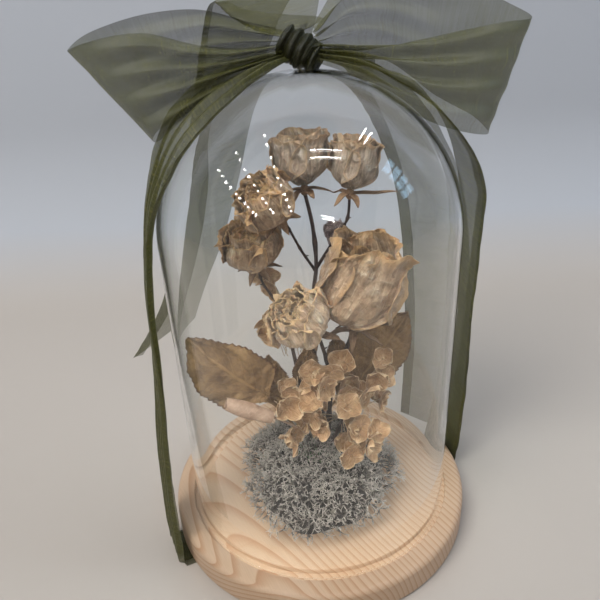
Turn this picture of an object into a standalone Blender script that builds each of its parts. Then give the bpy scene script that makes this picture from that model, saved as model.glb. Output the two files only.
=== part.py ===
"""Bell jar dome: a glass cloche on a turned pine base, tied with an organza ribbon.

Under the glass, dried roses, leaves and hydrangea florets stand in a block of floral
foam that is hidden by a cushion of reindeer moss. All sizes are in millimetres and are
scaled to metres where the geometry is made. The origin is at the centre of the
underside, +Z is up and the front of the arrangement faces -Y. Everything that lifts
off with the glass hangs under the empty cover_axis, whose Z axis is the lift axis.
"""
import math
import random

import bmesh
import bpy
from mathutils import Matrix, Vector

MM = 0.001

# Ribbon: one length of organza, tied round the jar and finished in a bow.
RIBBON_WIDTH = 50.0
RIBBON_THICKNESS = 0.5
KNOT_SIZE = (20.0, 17.0, 13.4)
UNDERPASS_THICKNESS = 0.4
UNDERPASS_WIDTH = 27.0

# Turned base.
GAP = 0.3
BASE_UNDERSIDE = UNDERPASS_THICKNESS + GAP
BASE_RADIUS = 87.5
BASE_TOP = 17.5
EDGE_ROUND = 3.0
FOOT_CHAMFER = 1.2
GROOVE_DEPTH = 3.2
GROOVE_INNER_RADIUS = 68.5
GROOVE_OUTER_RADIUS = 77.0

# Glass.
GLASS_RADIUS = 75.0
GLASS_WALL = 2.2
GLASS_TOP = 255.0
GLASS_FOOT = BASE_TOP - GROOVE_DEPTH + GAP
WALL_BREAK = 80.0

# Planting.
FOAM_RADIUS = 18.0
FOAM_FOOT = BASE_TOP + GAP
FOAM_TOP = 43.0
STEM_FOOT = 29.0
BORE_CLEARANCE = 0.5
PETIOLE_BORE_RADIUS = 1.4
MOSS_CENTRE = (-2.0, -3.0)
MOSS_SKIRT_RADIUS = 45.0
MOSS_SHAFT_RADIUS = 13.0
MOSS_RIM = 49.0
# Skin of the cushion outside the shaft, as (radius, height).
MOSS_SKIN = [(19.0, 51.0), (30.0, 47.5), (39.0, 40.0), (46.0, 31.0), (49.5, 24.5)]
MOSS_FIXED_RADIUS = 24.0
BLADE_THICKNESS = 0.7
ROLL_THICKNESS = 0.6

PINE = (0.78, 0.56, 0.36)
GLASS_TINT = (0.90, 0.95, 0.96)
OLIVE = (0.16, 0.18, 0.07)
ROSE_TAN = (0.62, 0.44, 0.27)
ROSE_CREAM = (0.80, 0.68, 0.48)
SEPAL_BROWN = (0.36, 0.22, 0.12)
STEM_BROWN = (0.07, 0.04, 0.03)
LEAF_BROWN = (0.38, 0.25, 0.15)
FLORET_GOLD = (0.55, 0.38, 0.20)
MOSS_GREY = (0.45, 0.44, 0.42)
FOAM_GREEN = (0.12, 0.20, 0.11)


# ---------------------------------------------------------------- tools


def clear_scene():
    for item in list(bpy.data.objects):
        bpy.data.objects.remove(item, do_unlink=True)


def add_holder(name):
    holder = bpy.data.objects.new(name, None)
    bpy.context.scene.collection.objects.link(holder)
    return holder


def add_material(name, colour, roughness, metallic=0.0, transmission=0.0, alpha=1.0):
    material = bpy.data.materials.new(name)
    material.use_nodes = True
    shader = material.node_tree.nodes["Principled BSDF"]
    shader.inputs["Base Color"].default_value = (*colour, 1.0)
    shader.inputs["Roughness"].default_value = roughness
    shader.inputs["Metallic"].default_value = metallic
    shader.inputs["Transmission Weight"].default_value = transmission
    shader.inputs["Alpha"].default_value = alpha
    return material


def place(piece, holder, location=(0.0, 0.0, 0.0), axis=(0.0, 0.0, 1.0), turn=0.0):
    """Puts a piece at a point, with its own +Z along axis and turned about it."""
    upright = Vector((0.0, 0.0, 1.0))
    tilt = upright.rotation_difference(Vector(axis)).to_matrix().to_4x4()
    spin = Matrix.Rotation(turn, 4, "Z")
    piece.matrix_world = Matrix.Translation(Vector(location) * MM) @ tilt @ spin
    piece.parent = holder


def add_mesh(name, bm, material):
    """Closes a bmesh that is drawn in millimetres and makes an object of it."""
    bmesh.ops.remove_doubles(bm, verts=bm.verts, dist=0.001)
    bmesh.ops.recalc_face_normals(bm, faces=bm.faces)
    bmesh.ops.scale(bm, vec=(MM, MM, MM), verts=bm.verts)
    mesh = bpy.data.meshes.new(name)
    bm.to_mesh(mesh)
    bm.free()
    mesh.materials.append(material)
    mesh.shade_smooth()
    mesh.set_sharp_from_angle(angle=math.radians(40))
    piece = bpy.data.objects.new(name, mesh)
    bpy.context.scene.collection.objects.link(piece)
    return piece


def spline(points, count):
    """Catmull-Rom curve through tuples of any length, sampled at count places."""
    last = len(points) - 1
    samples = []
    for index in range(count):
        position = last * index / (count - 1)
        start = min(int(position), last - 1)
        part = position - start
        a = points[max(start - 1, 0)]
        b = points[start]
        c = points[start + 1]
        d = points[min(start + 2, last)]
        samples.append(tuple(
            0.5 * (2 * q + (r - p) * part + (2 * p - 5 * q + 4 * r - s) * part**2
                   + (3 * q - p - 3 * r + s) * part**3)
            for p, q, r, s in zip(a, b, c, d)))
    return samples


def turned(profile, steps, closed=False):
    """Turns (radius, height) points about Z; a closed profile makes a ring."""
    bm = bmesh.new()
    ring = [bm.verts.new((radius, 0.0, height)) for radius, height in profile]
    pairs = list(zip(ring, ring[1:]))
    if closed:
        pairs.append((ring[-1], ring[0]))
    edges = [bm.edges.new(pair) for pair in pairs]
    bmesh.ops.spin(bm, geom=ring + edges, cent=(0, 0, 0), axis=(0, 0, 1),
                   angle=math.tau, steps=steps, use_merge=True)
    return bm


def sheet(rows, thickness):
    """A thin closed solid laid half on each side of a grid of points."""
    count, width = len(rows), len(rows[0])
    grid = [[Vector(point) for point in row] for row in rows]

    def normal(i, j):
        along = grid[min(i + 1, count - 1)][j] - grid[max(i - 1, 0)][j]
        across = grid[i][min(j + 1, width - 1)] - grid[i][max(j - 1, 0)]
        return along.cross(across).normalized()

    bm = bmesh.new()
    faces = {}
    for side in (1, -1):
        for i in range(count):
            for j in range(width):
                point = grid[i][j] + normal(i, j) * (side * thickness / 2)
                faces[side, i, j] = bm.verts.new(point)
        for i in range(count - 1):
            for j in range(width - 1):
                bm.faces.new([faces[side, i, j], faces[side, i + 1, j],
                              faces[side, i + 1, j + 1], faces[side, i, j + 1]])
    rim = [(i, 0) for i in range(count)]
    rim += [(count - 1, j) for j in range(1, width)]
    rim += [(i, width - 1) for i in range(count - 2, -1, -1)]
    rim += [(0, j) for j in range(width - 2, 0, -1)]
    for here, after in zip(rim, rim[1:] + rim[:1]):
        bm.faces.new([faces[1, *here], faces[1, *after],
                      faces[-1, *after], faces[-1, *here]])
    return bm


def strip(stations, count, thickness, columns=4, crown=0.0):
    """A band along stations of (x, y, z, width direction x, y, z, width)."""
    rows = []
    for station in spline(stations, count):
        centre = Vector(station[:3])
        across = Vector(station[3:6]).normalized()
        width = max(station[6], 0.8)
        row = []
        for column in range(columns):
            offset = column / (columns - 1) - 0.5
            lift = Vector((0.0, 0.0, crown * (0.25 - offset**2)))
            row.append(centre + across * (offset * width) + lift)
        rows.append(row)
    return sheet(rows, thickness)


def disc_plate(outline, rings, steps, height, thickness):
    """A closed plate drawn in polar rings; outline(angle) is its radius.

    height(share, angle) bends it and thickness(share) is its local thickness.
    """
    bm = bmesh.new()
    sides = []
    for side in (1, -1):
        centre = bm.verts.new((0.0, 0.0, height(0.0, 0.0) + side * thickness(0.0) / 2))
        loops = []
        for ring in range(1, rings + 1):
            share = ring / rings
            loop = []
            for step in range(steps):
                angle = math.tau * step / steps
                radius = outline(angle) * share
                z = height(share, angle) + side * thickness(share) / 2
                loop.append(bm.verts.new((radius * math.cos(angle),
                                          radius * math.sin(angle), z)))
            loops.append(loop)
        for step in range(steps):
            after = (step + 1) % steps
            bm.faces.new([centre, loops[0][step], loops[0][after]])
            for inner, outer in zip(loops, loops[1:]):
                bm.faces.new([inner[step], outer[step], outer[after], inner[after]])
        sides.append(loops[-1])
    for step in range(steps):
        after = (step + 1) % steps
        bm.faces.new([sides[0][step], sides[0][after], sides[1][after], sides[1][step]])
    return bm


def add_stem(name, route, radius, material, holder, count=12):
    """A round stem along route; it tapers a little towards its upper end."""
    curve = bpy.data.curves.new(name, "CURVE")
    curve.dimensions = "3D"
    curve.bevel_depth = radius * MM
    curve.bevel_resolution = 1
    curve.use_fill_caps = True
    points = spline(route, count)
    line = curve.splines.new("POLY")
    line.points.add(len(points) - 1)
    for index, (spot, point) in enumerate(zip(line.points, points)):
        spot.co = (*(Vector(point) * MM), 1.0)
        spot.radius = 1.0 - 0.25 * index / count
    curve.materials.append(material)
    stem = bpy.data.objects.new(name, curve)
    bpy.context.scene.collection.objects.link(stem)
    stem.parent = holder
    return stem


def add_bore(name, body, spot, radius, foot, top):
    """Cuts an upright hole into body with a hidden cylinder."""
    bm = bmesh.new()
    bmesh.ops.create_cone(bm, cap_ends=True, segments=10, radius1=radius * MM,
                          radius2=radius * MM, depth=(top - foot) * MM)
    mesh = bpy.data.meshes.new(name)
    bm.to_mesh(mesh)
    bm.free()
    cutter = bpy.data.objects.new(name, mesh)
    bpy.context.scene.collection.objects.link(cutter)
    cutter.location = (spot[0] * MM, spot[1] * MM, (foot + top) / 2 * MM)
    cutter.parent = body.parent
    cutter.hide_render = True
    cutter.display_type = "WIRE"
    cut = body.modifiers.new(name, "BOOLEAN")
    cut.operation = "DIFFERENCE"
    cut.object = cutter


# ---------------------------------------------------------------- base and glass


def arc(centre, radius, start, end, steps):
    """Points of an arc in the (radius, height) plane; angles are in degrees."""
    points = []
    for step in range(steps + 1):
        angle = math.radians(start + (end - start) * step / steps)
        points.append((centre[0] + radius * math.cos(angle),
                       centre[1] + radius * math.sin(angle)))
    return points


def build_base(holder, material):
    """Disc with a rounded top edge and a groove that seats the glass."""
    floor = BASE_TOP - GROOVE_DEPTH
    shoulder = (BASE_RADIUS - EDGE_ROUND, BASE_TOP - EDGE_ROUND)
    profile = [(0.0, BASE_TOP), (GROOVE_INNER_RADIUS, BASE_TOP)]
    profile += [(GROOVE_INNER_RADIUS, floor), (GROOVE_OUTER_RADIUS, floor)]
    profile += [(GROOVE_OUTER_RADIUS, BASE_TOP)]
    profile += arc(shoulder, EDGE_ROUND, 90, 0, 4)
    profile += [(BASE_RADIUS, BASE_UNDERSIDE + FOOT_CHAMFER)]
    profile += [(BASE_RADIUS - FOOT_CHAMFER, BASE_UNDERSIDE), (0.0, BASE_UNDERSIDE)]
    place(add_mesh("wood_base", turned(profile, 48), material), holder)


def build_glass(holder, material):
    """Straight wall with a half-round top, open at the foot with a rounded lip."""
    inner = GLASS_RADIUS - GLASS_WALL
    spring = GLASS_TOP - GLASS_RADIUS
    lip = GLASS_WALL / 2
    profile = arc((0.0, spring), GLASS_RADIUS, 90, 0, 9)
    profile += [(GLASS_RADIUS, spring - WALL_BREAK), (GLASS_RADIUS, GLASS_FOOT + lip)]
    profile += [(GLASS_RADIUS - lip, GLASS_FOOT), (inner, GLASS_FOOT + lip)]
    profile += [(inner, spring - WALL_BREAK)]
    profile += arc((0.0, spring), inner, 0, 90, 9)
    place(add_mesh("glass_dome", turned(profile, 44), material), holder)


# ---------------------------------------------------------------- planting


def build_foam(holder, material):
    bm = turned([(0.0, FOAM_TOP), (FOAM_RADIUS, FOAM_TOP), (FOAM_RADIUS, FOAM_FOOT),
                 (0.0, FOAM_FOOT)], 24)
    foam = add_mesh("floral_foam_block", bm, material)
    place(foam, holder)
    return foam


def build_moss(holder, material):
    """Lumpy cushion with a pocket below for the foam and a shaft for the stems.

    The skin sits a little off centre; the pocket and the shaft stay on the axis.
    """
    pocket = FOAM_RADIUS + 2 * GAP
    roof = FOAM_TOP + 2 * GAP
    foot = BASE_TOP + GAP
    profile = [(MOSS_SHAFT_RADIUS, roof), (MOSS_SHAFT_RADIUS, MOSS_RIM), *MOSS_SKIN]
    profile += [(MOSS_SKIRT_RADIUS, foot), (pocket, foot), (pocket, roof)]
    bm = turned(profile, 32, closed=True)
    for vert in bm.verts:
        radius = math.hypot(vert.co.x, vert.co.y)
        if radius < FOAM_RADIUS + 3.0 or vert.co.z < foot + 0.1:
            continue
        angle = math.atan2(vert.co.y, vert.co.x)
        lump = 0.035 * math.sin(3 * angle + 0.7) + 0.03 * math.sin(7 * angle + 2.0)
        vert.co.x *= 1.0 + lump
        vert.co.y *= 1.0 + lump
        vert.co.z += 1.2 * math.sin(5 * angle + 0.1 * radius)
    moss = add_mesh("moss_cushion", bm, material)
    for corner in moss.data.vertices:
        if math.hypot(corner.co.x, corner.co.y) > MOSS_FIXED_RADIUS * MM:
            corner.co.x += MOSS_CENTRE[0] * MM
            corner.co.y += MOSS_CENTRE[1] * MM
    place(moss, holder)


def bloom_mesh(radius, height, lobes, phase):
    """An open rose head, its foot at the origin and its dimpled top up +Z."""
    outline = [(0.0, 0.0), (0.5, 0.05), (0.86, 0.22), (1.0, 0.48), (0.93, 0.78)]
    outline += [(0.74, 0.98), (0.52, 0.92), (0.25, 0.80), (0.0, 0.77)]
    bm = turned([(r * radius, h * height) for r, h in outline], 18)
    for vert in bm.verts:
        angle = math.atan2(vert.co.y, vert.co.x)
        share = vert.co.z / height
        wave = 1.0 + 0.06 * share * math.sin(lobes * angle + phase + 3.0 * share)
        vert.co.x *= wave
        vert.co.y *= wave
    return bm


RECEPTACLE_RADIUS = 2.4
SEPAL_SPREAD = 0.3


def calyx_mesh(lengths, droop):
    """A receptacle with one sepal for each length, spread round +Z."""
    count = len(lengths)

    def outline(angle):
        radius = RECEPTACLE_RADIUS
        for index, length in enumerate(lengths):
            off = (angle - math.tau * index / count + math.pi) % math.tau - math.pi
            radius = max(radius, length * math.exp(-(off / SEPAL_SPREAD) ** 2))
        return radius

    def height(share, angle):
        reach = outline(angle) * share
        return -droop * (reach / max(lengths)) ** 1.5

    def thickness(share):
        return 0.7 + 3.0 * max(0.0, 1.0 - 2.2 * share)

    return disc_plate(outline, 3, 6 * count, height, thickness)


# foot: top of the stem; lean: where the head looks; then head radius and height,
# its petal lobes, its sepal lengths, how far the sepals droop and their first angle.
HEAD_LIFT = 3.2
ROSES = {
    "left": ((-28.0, 5.0, 157.0), (-0.12, -0.25, 1.0), 14.6, 24.0, 5,
             (12.0, 9.0, 11.0, 8.0, 10.0), 4.0, 0.3),
    "upper_left": ((-13.0, -7.0, 188.5), (-0.58, -0.48, 0.85), 13.6, 22.0, 6,
                   (8.0, 7.0, 7.5, 7.0, 8.0), 2.5, 0.9),
    "top": ((-1.5, 5.0, 198.5), (-0.08, 0.02, 1.0), 13.0, 26.0, 5,
            (13.0, 8.0, 12.0, 8.0, 9.0), 3.0, 0.1),
    "cup": ((20.5, 0.0, 197.0), (0.12, -0.05, 1.0), 10.6, 25.0, 5,
            (22.0, 8.0, 9.0, 8.0, 10.0), 1.0, 0.0),
    "large": ((20.5, -12.0, 127.5), (0.16, -0.06, 1.0), 20.0, 50.0, 4,
              (17.0, 12.0, 14.0, 11.0, 16.0), 9.0, 0.5),
    "front": ((1.0, -24.0, 133.5), (-0.52, -0.34, 0.75), 15.0, 26.0, 6,
              (9.0, 7.0, 8.0, 10.0, 9.0), 3.0, 1.9),
}


def build_roses(holder, tan, cream, sepal):
    for name, values in ROSES.items():
        foot, lean, radius, height, lobes, lengths, droop, turn = values
        direction = Vector(lean).normalized()
        petals = cream if name == "front" else tan
        head_foot = Vector(foot) + direction * HEAD_LIFT
        head = add_mesh(f"rose_{name}_petals", bloom_mesh(radius, height, lobes, turn), petals)
        place(head, holder, head_foot, direction, turn)
        calyx = add_mesh(f"rose_{name}_calyx", calyx_mesh(lengths, droop), sepal)
        place(calyx, holder, foot, direction, turn)


# Routes run from the foot upwards. Those that start at STEM_FOOT stand in the foam.
STEMS = {
    "rose_spray_stem": (1.3, [(0, 4, STEM_FOOT), (0, 4, 46), (0, 4, 80), (0, 4, 110),
                              (1, 4, 140), (3, 4, 158), (2, 5, 178), (-1.3, 5, 194)]),
    "rose_large_stem": (1.4, [(7, 0, STEM_FOOT), (7, 0, 46), (8, -2, 72), (12, -7, 98),
                              (17, -11, 115), (19.6, -11.8, 123.5)]),
    "rose_front_stem": (1.2, [(1, -5, STEM_FOOT), (1, -5, 46), (4, -8, 76), (7, -13, 98),
                              (6, -18, 113), (3, -21.6, 127), (2.4, -22.4, 130.5)]),
    "hydrangea_stalk_left": (1.3, [(-6, 1, STEM_FOOT), (-6, 1, 46), (-7, -4, 64),
                                   (-8, -10, 82), (-10, -7, 102), (-14, 2, 122)]),
    "hydrangea_stalk_right": (1.2, [(7, -8, STEM_FOOT), (7, -8, 46), (11, -13, 60),
                                    (16, -14, 76), (23, -9, 90)]),
    "rose_left_branch": (0.8, [(-2.8, 4, 114), (-10, 4, 124), (-19, 4.5, 137),
                               (-25.4, 5.2, 147), (-27.4, 5.8, 153.5)]),
    "rose_upper_left_branch": (0.8, [(-0.2, 3.4, 158), (-4, 0, 167), (-8, -4, 177),
                                     (-11, -5.2, 185)]),
    "rose_cup_branch": (0.9, [(6.0, 4.0, 159), (9, 3, 166), (15, 1.5, 176),
                              (19.3, 0.6, 184), (20.1, 0.2, 193.5)]),
}
BORED = ("rose_spray_stem", "rose_large_stem", "rose_front_stem",
         "hydrangea_stalk_left", "hydrangea_stalk_right")
PETIOLE_FEET = {"left": (-8.0, -6.0), "right": (5.0, 8.5)}


def build_stems(holder, foam, material):
    for name, (radius, route) in STEMS.items():
        add_stem(name, route, radius, material, holder)
    foot = STEM_FOOT - GAP
    top = FOAM_TOP + 1.0
    for name in BORED:
        radius, route = STEMS[name]
        add_bore(f"bore_{name}", foam, route[0], radius + BORE_CLEARANCE, foot, top)
    for name, spot in PETIOLE_FEET.items():
        add_bore(f"bore_leaf_{name}", foam, spot, PETIOLE_BORE_RADIUS, foot, top)


def build_leaves(holder, material):
    """Each leaf is one sheet: a narrow petiole that widens into the blade."""
    left = PETIOLE_FEET["left"]
    right = PETIOLE_FEET["right"]
    blades = {
        "leaf_left_large": [
            (*left, STEM_FOOT + 1, 1, 0, 0, 1.3), (*left, 46, 1, 0, 0, 1.3),
            (-12, -9, 60, 0.9, 0, 0.3, 1.3), (-19, -15, 78, 0.8, 0, 0.5, 1.5),
            (-27, -19, 91, 0.72, 0, 0.69, 5.0), (-34, -21, 98, 0.72, 0, 0.69, 35.0),
            (-45, -23, 109, 0.72, -0.1, 0.69, 41.0), (-55, -22, 120, 0.72, 0, 0.69, 29.0),
            (-63, -19, 130, 0.72, 0, 0.69, 2.0)],
        "leaf_right_large": [
            (*right, STEM_FOOT + 1, 1, 0, 0, 1.3), (*right, 46, 1, 0, 0, 1.3),
            (8, 11, 58, 0.9, 0, -0.3, 1.3), (16, 12, 68, 0.8, 0, -0.5, 1.5),
            (25, 12, 78, 0.75, 0, -0.66, 6.0), (31, 13, 86, 0.75, 0, -0.66, 32.0),
            (40, 14, 99, 0.75, 0.1, -0.66, 37.0), (47, 13, 111, 0.75, 0, -0.66, 27.0),
            (54, 10, 124, 0.75, 0, -0.66, 2.0)],
        "leaf_small": [
            (17.2, 3.2, 183, 0.8, 0, -0.5, 2.0), (15, 4.4, 179.5, 0.8, 0.1, -0.5, 10.5),
            (12.6, 5, 174.5, 0.8, 0.1, -0.5, 11.0), (10.2, 5, 168.5, 0.8, 0, -0.5, 2.0)],
    }
    for name, stations in blades.items():
        count = 3 * len(stations) - 4
        blade = strip(stations, count, BLADE_THICKNESS, 5, crown=1.5)
        place(add_mesh(name, blade, material), holder)
    build_rolled_leaf(holder, material)


def build_rolled_leaf(holder, material):
    """A small leaf that has dried into an open roll."""
    start = Vector((-24.0, -31.0, 88.0))
    end = Vector((-47.0, -32.0, 99.0))
    roll = (end - start).to_track_quat("X", "Z").to_matrix()
    rows = []
    for row in range(8):
        share = row / 7
        radius = 2.6 + 2.0 * math.sin(math.pi * (0.15 + 0.7 * share))
        line = []
        for column in range(11):
            angle = math.radians(-60 + 290 * column / 10)
            ring = Vector((0.0, radius * math.cos(angle), radius * math.sin(angle)))
            line.append(start.lerp(end, share) + roll @ ring)
        rows.append(line)
    place(add_mesh("leaf_rolled", sheet(rows, ROLL_THICKNESS), material), holder)


FLORET_SPOTS = [
    (8, -27, 112), (-2, -27, 94), (3, -30, 105), (3, -25, 76), (-16, -24, 89),
    (16, -25, 89), (33, -14, 98), (26, -20, 92), (22, -26, 73), (26, -29, 64),
    (17, -28, 57), (-13, -24, 67), (36, -8, 79), (-24, 10, 114), (-15, 11, 117),
    (-20, 12, 141),
]
FLORET_RADIUS = 5.2
BRACTS = 4
BRACT_THICKNESS = 0.6


def floret_mesh(cup):
    """A hydrangea floret of round bracts, cupped towards +Z."""
    def outline(angle):
        return FLORET_RADIUS * (0.72 + 0.28 * abs(math.cos(BRACTS * angle / 2)))

    def height(share, angle):
        return cup * share**2 + 0.5 * share * math.cos(BRACTS * angle)

    return disc_plate(outline, 2, 16, height, lambda share: BRACT_THICKNESS)


def build_florets(holder, material):
    chooser = random.Random(11)
    for index, spot in enumerate(FLORET_SPOTS, 1):
        look = Vector((spot[0] * 0.02 + chooser.uniform(-0.4, 0.4), -1.0,
                       chooser.uniform(0.1, 0.8)))
        piece = add_mesh(f"hydrangea_floret_{index:02d}",
                         floret_mesh(chooser.uniform(0.8, 2.0)), material)
        place(piece, holder, spot, look, chooser.uniform(0, math.tau))


# ---------------------------------------------------------------- ribbon


# Stations of a band: centre x, y, z, direction of its width x, y, z, and its width.
RIBBON_BANDS = {
    "ribbon_loop_left": [
        (-11, -4, 262.5, 0.2, -0.3, -0.9, 8), (-24, -8, 260, 0.15, -0.1, -0.95, 9),
        (-42, -11, 257, 0.15, 0, -0.98, 19), (-62, -12, 254, 0.2, 0, -0.97, 39),
        (-80, -8, 249, 0.5, 0, -0.84, 49), (-86.5, 0, 247.5, 0.6, 0.05, -0.78, 50),
        (-81, 9, 252, 0.5, 0.1, -0.84, 50), (-62, 14, 257.5, 0.2, 0.1, -0.97, 46),
        (-43, 14, 263.5, 0.1, 0.1, -0.98, 34), (-25, 11, 266, 0, 0.2, -0.98, 18),
        (-11, 5, 265.5, 0, 0.3, -0.95, 8)],
    "ribbon_loop_right": [
        (11, -4, 262, 0, -0.5, -0.85, 8), (22, -9.5, 259, 0, -0.75, -0.65, 15),
        (38, -13, 254.5, 0, -0.65, -0.76, 27), (58, -14, 250, -0.1, -0.35, -0.93, 37),
        (80, -10, 248, -0.2, -0.1, -0.98, 46), (92, -1, 247.5, -0.27, 0, -0.96, 50),
        (86, 10, 253, -0.2, 0.1, -0.98, 50), (66, 15, 263, -0.1, 0.1, -1, 50),
        (42, 15, 272.5, 0, 0.1, -1, 38), (22, 11, 273.5, 0.1, 0.2, -0.97, 31),
        (12, 6, 267.5, 0.1, 0.3, -0.95, 12)],
    "ribbon_run_left": [
        (-11.5, -4, 258, 0.1, -1, -0.1, 9), (-27, -10, 253, 0.1, -1, -0.3, 22),
        (-46, -14, 241.5, 0.1, -0.9, -0.35, 36), (-62.5, -17.5, 222.5, 0.2, -0.9, -0.25, 42),
        (-73.5, -18, 196, 0.2, -0.95, -0.1, 42), (-78, -20, 160, 0.25, -1, 0, 40),
        (-80, -25, 110, 0.3, -1, 0, 36), (-83, -32, 60, 0.38, -1, 0, 32),
        (-83, -37, 22, 0.42, -1, 0, 29), (-82.6, -38.3, 1.0, 0.42, -1, 0, 27)],
    "ribbon_run_right": [
        (11.5, 0, 256.8, 0.2, 1, 0, 8), (30, 4, 253.5, 0.1, 1, 0, 16),
        (54, 10, 243, 0, 1, 0.1, 30), (73, 16, 223, -0.1, 1, 0.1, 38),
        (85, 20, 196, -0.1, 1, 0, 40), (88.5, 22, 160, 0, 1, 0, 38),
        (90, 24, 110, 0.03, 1, 0, 34), (90.5, 27, 60, -0.05, 1, 0, 31),
        (89, 30, 22, -0.2, 1, 0, 29), (86.5, 32.5, 1.0, -0.38, 1, 0, 27)],
    "ribbon_tail_left": [
        (-4, 11, 266, 1, 0, 0, 10), (-7, 13, 274, 1, 0, 0.2, 24),
        (-12, 18, 281, 1, 0, 0.2, 38), (-17, 26, 284, 1, 0.1, 0.1, 44),
        (-25, 40, 278, 0.95, 0.15, 0.25, 46),
        (-36, 56, 253, 0.9, 0.2, 0.35, 44), (-48, 67, 219, 0.9, 0.15, 0.35, 40),
        (-57, 72, 184, 0.92, 0, 0.3, 36), (-70, 73, 144, 0.9, -0.1, 0.35, 35),
        (-86, 73, 108, 0.85, 0, 0.5, 36), (-104, 72, 76, 0.88, 0, 0.45, 40)],
    "ribbon_tail_right": [
        (5, 11, 259.5, 1, -0.3, 0, 8), (19, 25, 257, 0.8, -0.6, 0, 20),
        (38, 44, 244, 0.75, -0.6, -0.1, 34), (57, 57, 218, 0.75, -0.6, 0, 40),
        (72, 62, 184, 0.8, -0.55, 0, 42), (80, 62, 140, 0.85, -0.5, 0, 42),
        (84, 63, 90, 0.85, -0.5, 0, 42), (86, 64, 45, 0.85, -0.5, 0, 42),
        (87, 65, 8, 0.85, -0.5, 0, 42)],
}


def build_ribbon(cover, base, material):
    for name, stations in RIBBON_BANDS.items():
        count = 3 * len(stations) - 2
        bm = strip(stations, count, RIBBON_THICKNESS, 4)
        place(add_mesh(name, bm, material), cover)
    build_knot(cover, material)
    build_underpass(base, material)


def build_knot(holder, material):
    """The wound knot: a squat rounded lump whose waist is nipped in."""
    bm = bmesh.new()
    bmesh.ops.create_uvsphere(bm, u_segments=16, v_segments=10, radius=0.5)
    for vert in bm.verts:
        waist = 1.0 - 0.16 * math.cos(math.tau * vert.co.x) ** 2
        vert.co.y *= waist
        vert.co.x *= KNOT_SIZE[0]
        vert.co.y *= KNOT_SIZE[1]
        vert.co.z *= KNOT_SIZE[2]
    middle = (0.0, 0.0, GLASS_TOP + 2 * GAP + KNOT_SIZE[2] / 2)
    place(add_mesh("ribbon_knot", bm, material), holder, middle)


def build_underpass(holder, material):
    """The flat stretch below the base, between the feet of the two side runs."""
    left = Vector(RIBBON_BANDS["ribbon_run_left"][-1][:2])
    right = Vector(RIBBON_BANDS["ribbon_run_right"][-1][:2])
    across = (right - left).normalized()
    across = Vector((across.y, -across.x)) * UNDERPASS_WIDTH / 2
    corners = [left - across, left + across, right + across, right - across]
    bm = bmesh.new()
    face = bm.faces.new([bm.verts.new((*corner, 0.0)) for corner in corners])
    raised = bmesh.ops.extrude_face_region(bm, geom=[face])["geom"]
    tops = [item for item in raised if isinstance(item, bmesh.types.BMVert)]
    bmesh.ops.translate(bm, vec=(0, 0, UNDERPASS_THICKNESS), verts=tops)
    place(add_mesh("ribbon_underpass", bm, material), holder)


# ---------------------------------------------------------------- assembly


def main():
    clear_scene()
    base = add_holder("base_frame")
    cover = add_holder("cover_axis")
    build_base(base, add_material("pine", PINE, 0.45))
    build_glass(cover, add_material("clear_glass", GLASS_TINT, 0.02, transmission=1.0))
    foam = build_foam(base, add_material("floral_foam", FOAM_GREEN, 0.95))
    build_moss(base, add_material("reindeer_moss", MOSS_GREY, 0.95))
    build_stems(base, foam, add_material("dark_stem", STEM_BROWN, 0.7))
    build_roses(base, add_material("rose_petal", ROSE_TAN, 0.75),
                add_material("cream_petal", ROSE_CREAM, 0.75),
                add_material("sepal", SEPAL_BROWN, 0.75))
    build_leaves(base, add_material("dried_leaf", LEAF_BROWN, 0.7))
    build_florets(base, add_material("hydrangea_bract", FLORET_GOLD, 0.65))
    build_ribbon(cover, base, add_material("organza", OLIVE, 0.5, alpha=0.6))


main()
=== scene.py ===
"""Looks of the bell jar dome: glass, pine, organza bow, dried flowers and moss.

Every length is in millimetres and is scaled by MM where a mesh is made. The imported
model gives the sizes of the base and of the glass; the soft pieces follow the routes
that the model's own bands, stems and heads take.
"""
import math
import random

import bmesh
import bpy
from mathutils import Matrix, Vector, noise


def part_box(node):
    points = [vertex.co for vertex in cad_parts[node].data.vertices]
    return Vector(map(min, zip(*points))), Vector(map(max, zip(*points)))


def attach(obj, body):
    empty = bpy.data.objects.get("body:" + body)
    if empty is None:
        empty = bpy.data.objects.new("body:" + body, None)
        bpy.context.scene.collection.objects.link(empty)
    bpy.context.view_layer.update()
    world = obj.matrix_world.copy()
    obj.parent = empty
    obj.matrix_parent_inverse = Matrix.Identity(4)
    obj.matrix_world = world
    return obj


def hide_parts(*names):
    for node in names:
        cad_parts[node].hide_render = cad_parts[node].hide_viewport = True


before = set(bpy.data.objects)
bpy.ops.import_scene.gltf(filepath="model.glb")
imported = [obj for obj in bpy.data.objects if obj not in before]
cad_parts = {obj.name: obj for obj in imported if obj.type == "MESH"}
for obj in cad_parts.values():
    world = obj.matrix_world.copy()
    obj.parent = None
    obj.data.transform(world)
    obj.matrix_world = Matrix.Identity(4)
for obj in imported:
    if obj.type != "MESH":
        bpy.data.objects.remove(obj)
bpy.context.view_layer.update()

MM = 0.001
RIBBON_WIDTH = 50.0


def box_mm(node):
    """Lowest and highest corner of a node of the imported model."""
    low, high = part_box(node)
    return low / MM, high / MM


# ---------------------------------------------------------------- camera and stage

# Place in mm, angles in degrees: looking down, and rolled about the line of sight.
CAMERA_PLACE = (-6.4, -283.5, 287.2)
CAMERA_ELEVATION = 27.5
CAMERA_ROLL = -2.8
CAMERA_LENS = 36.0


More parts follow.
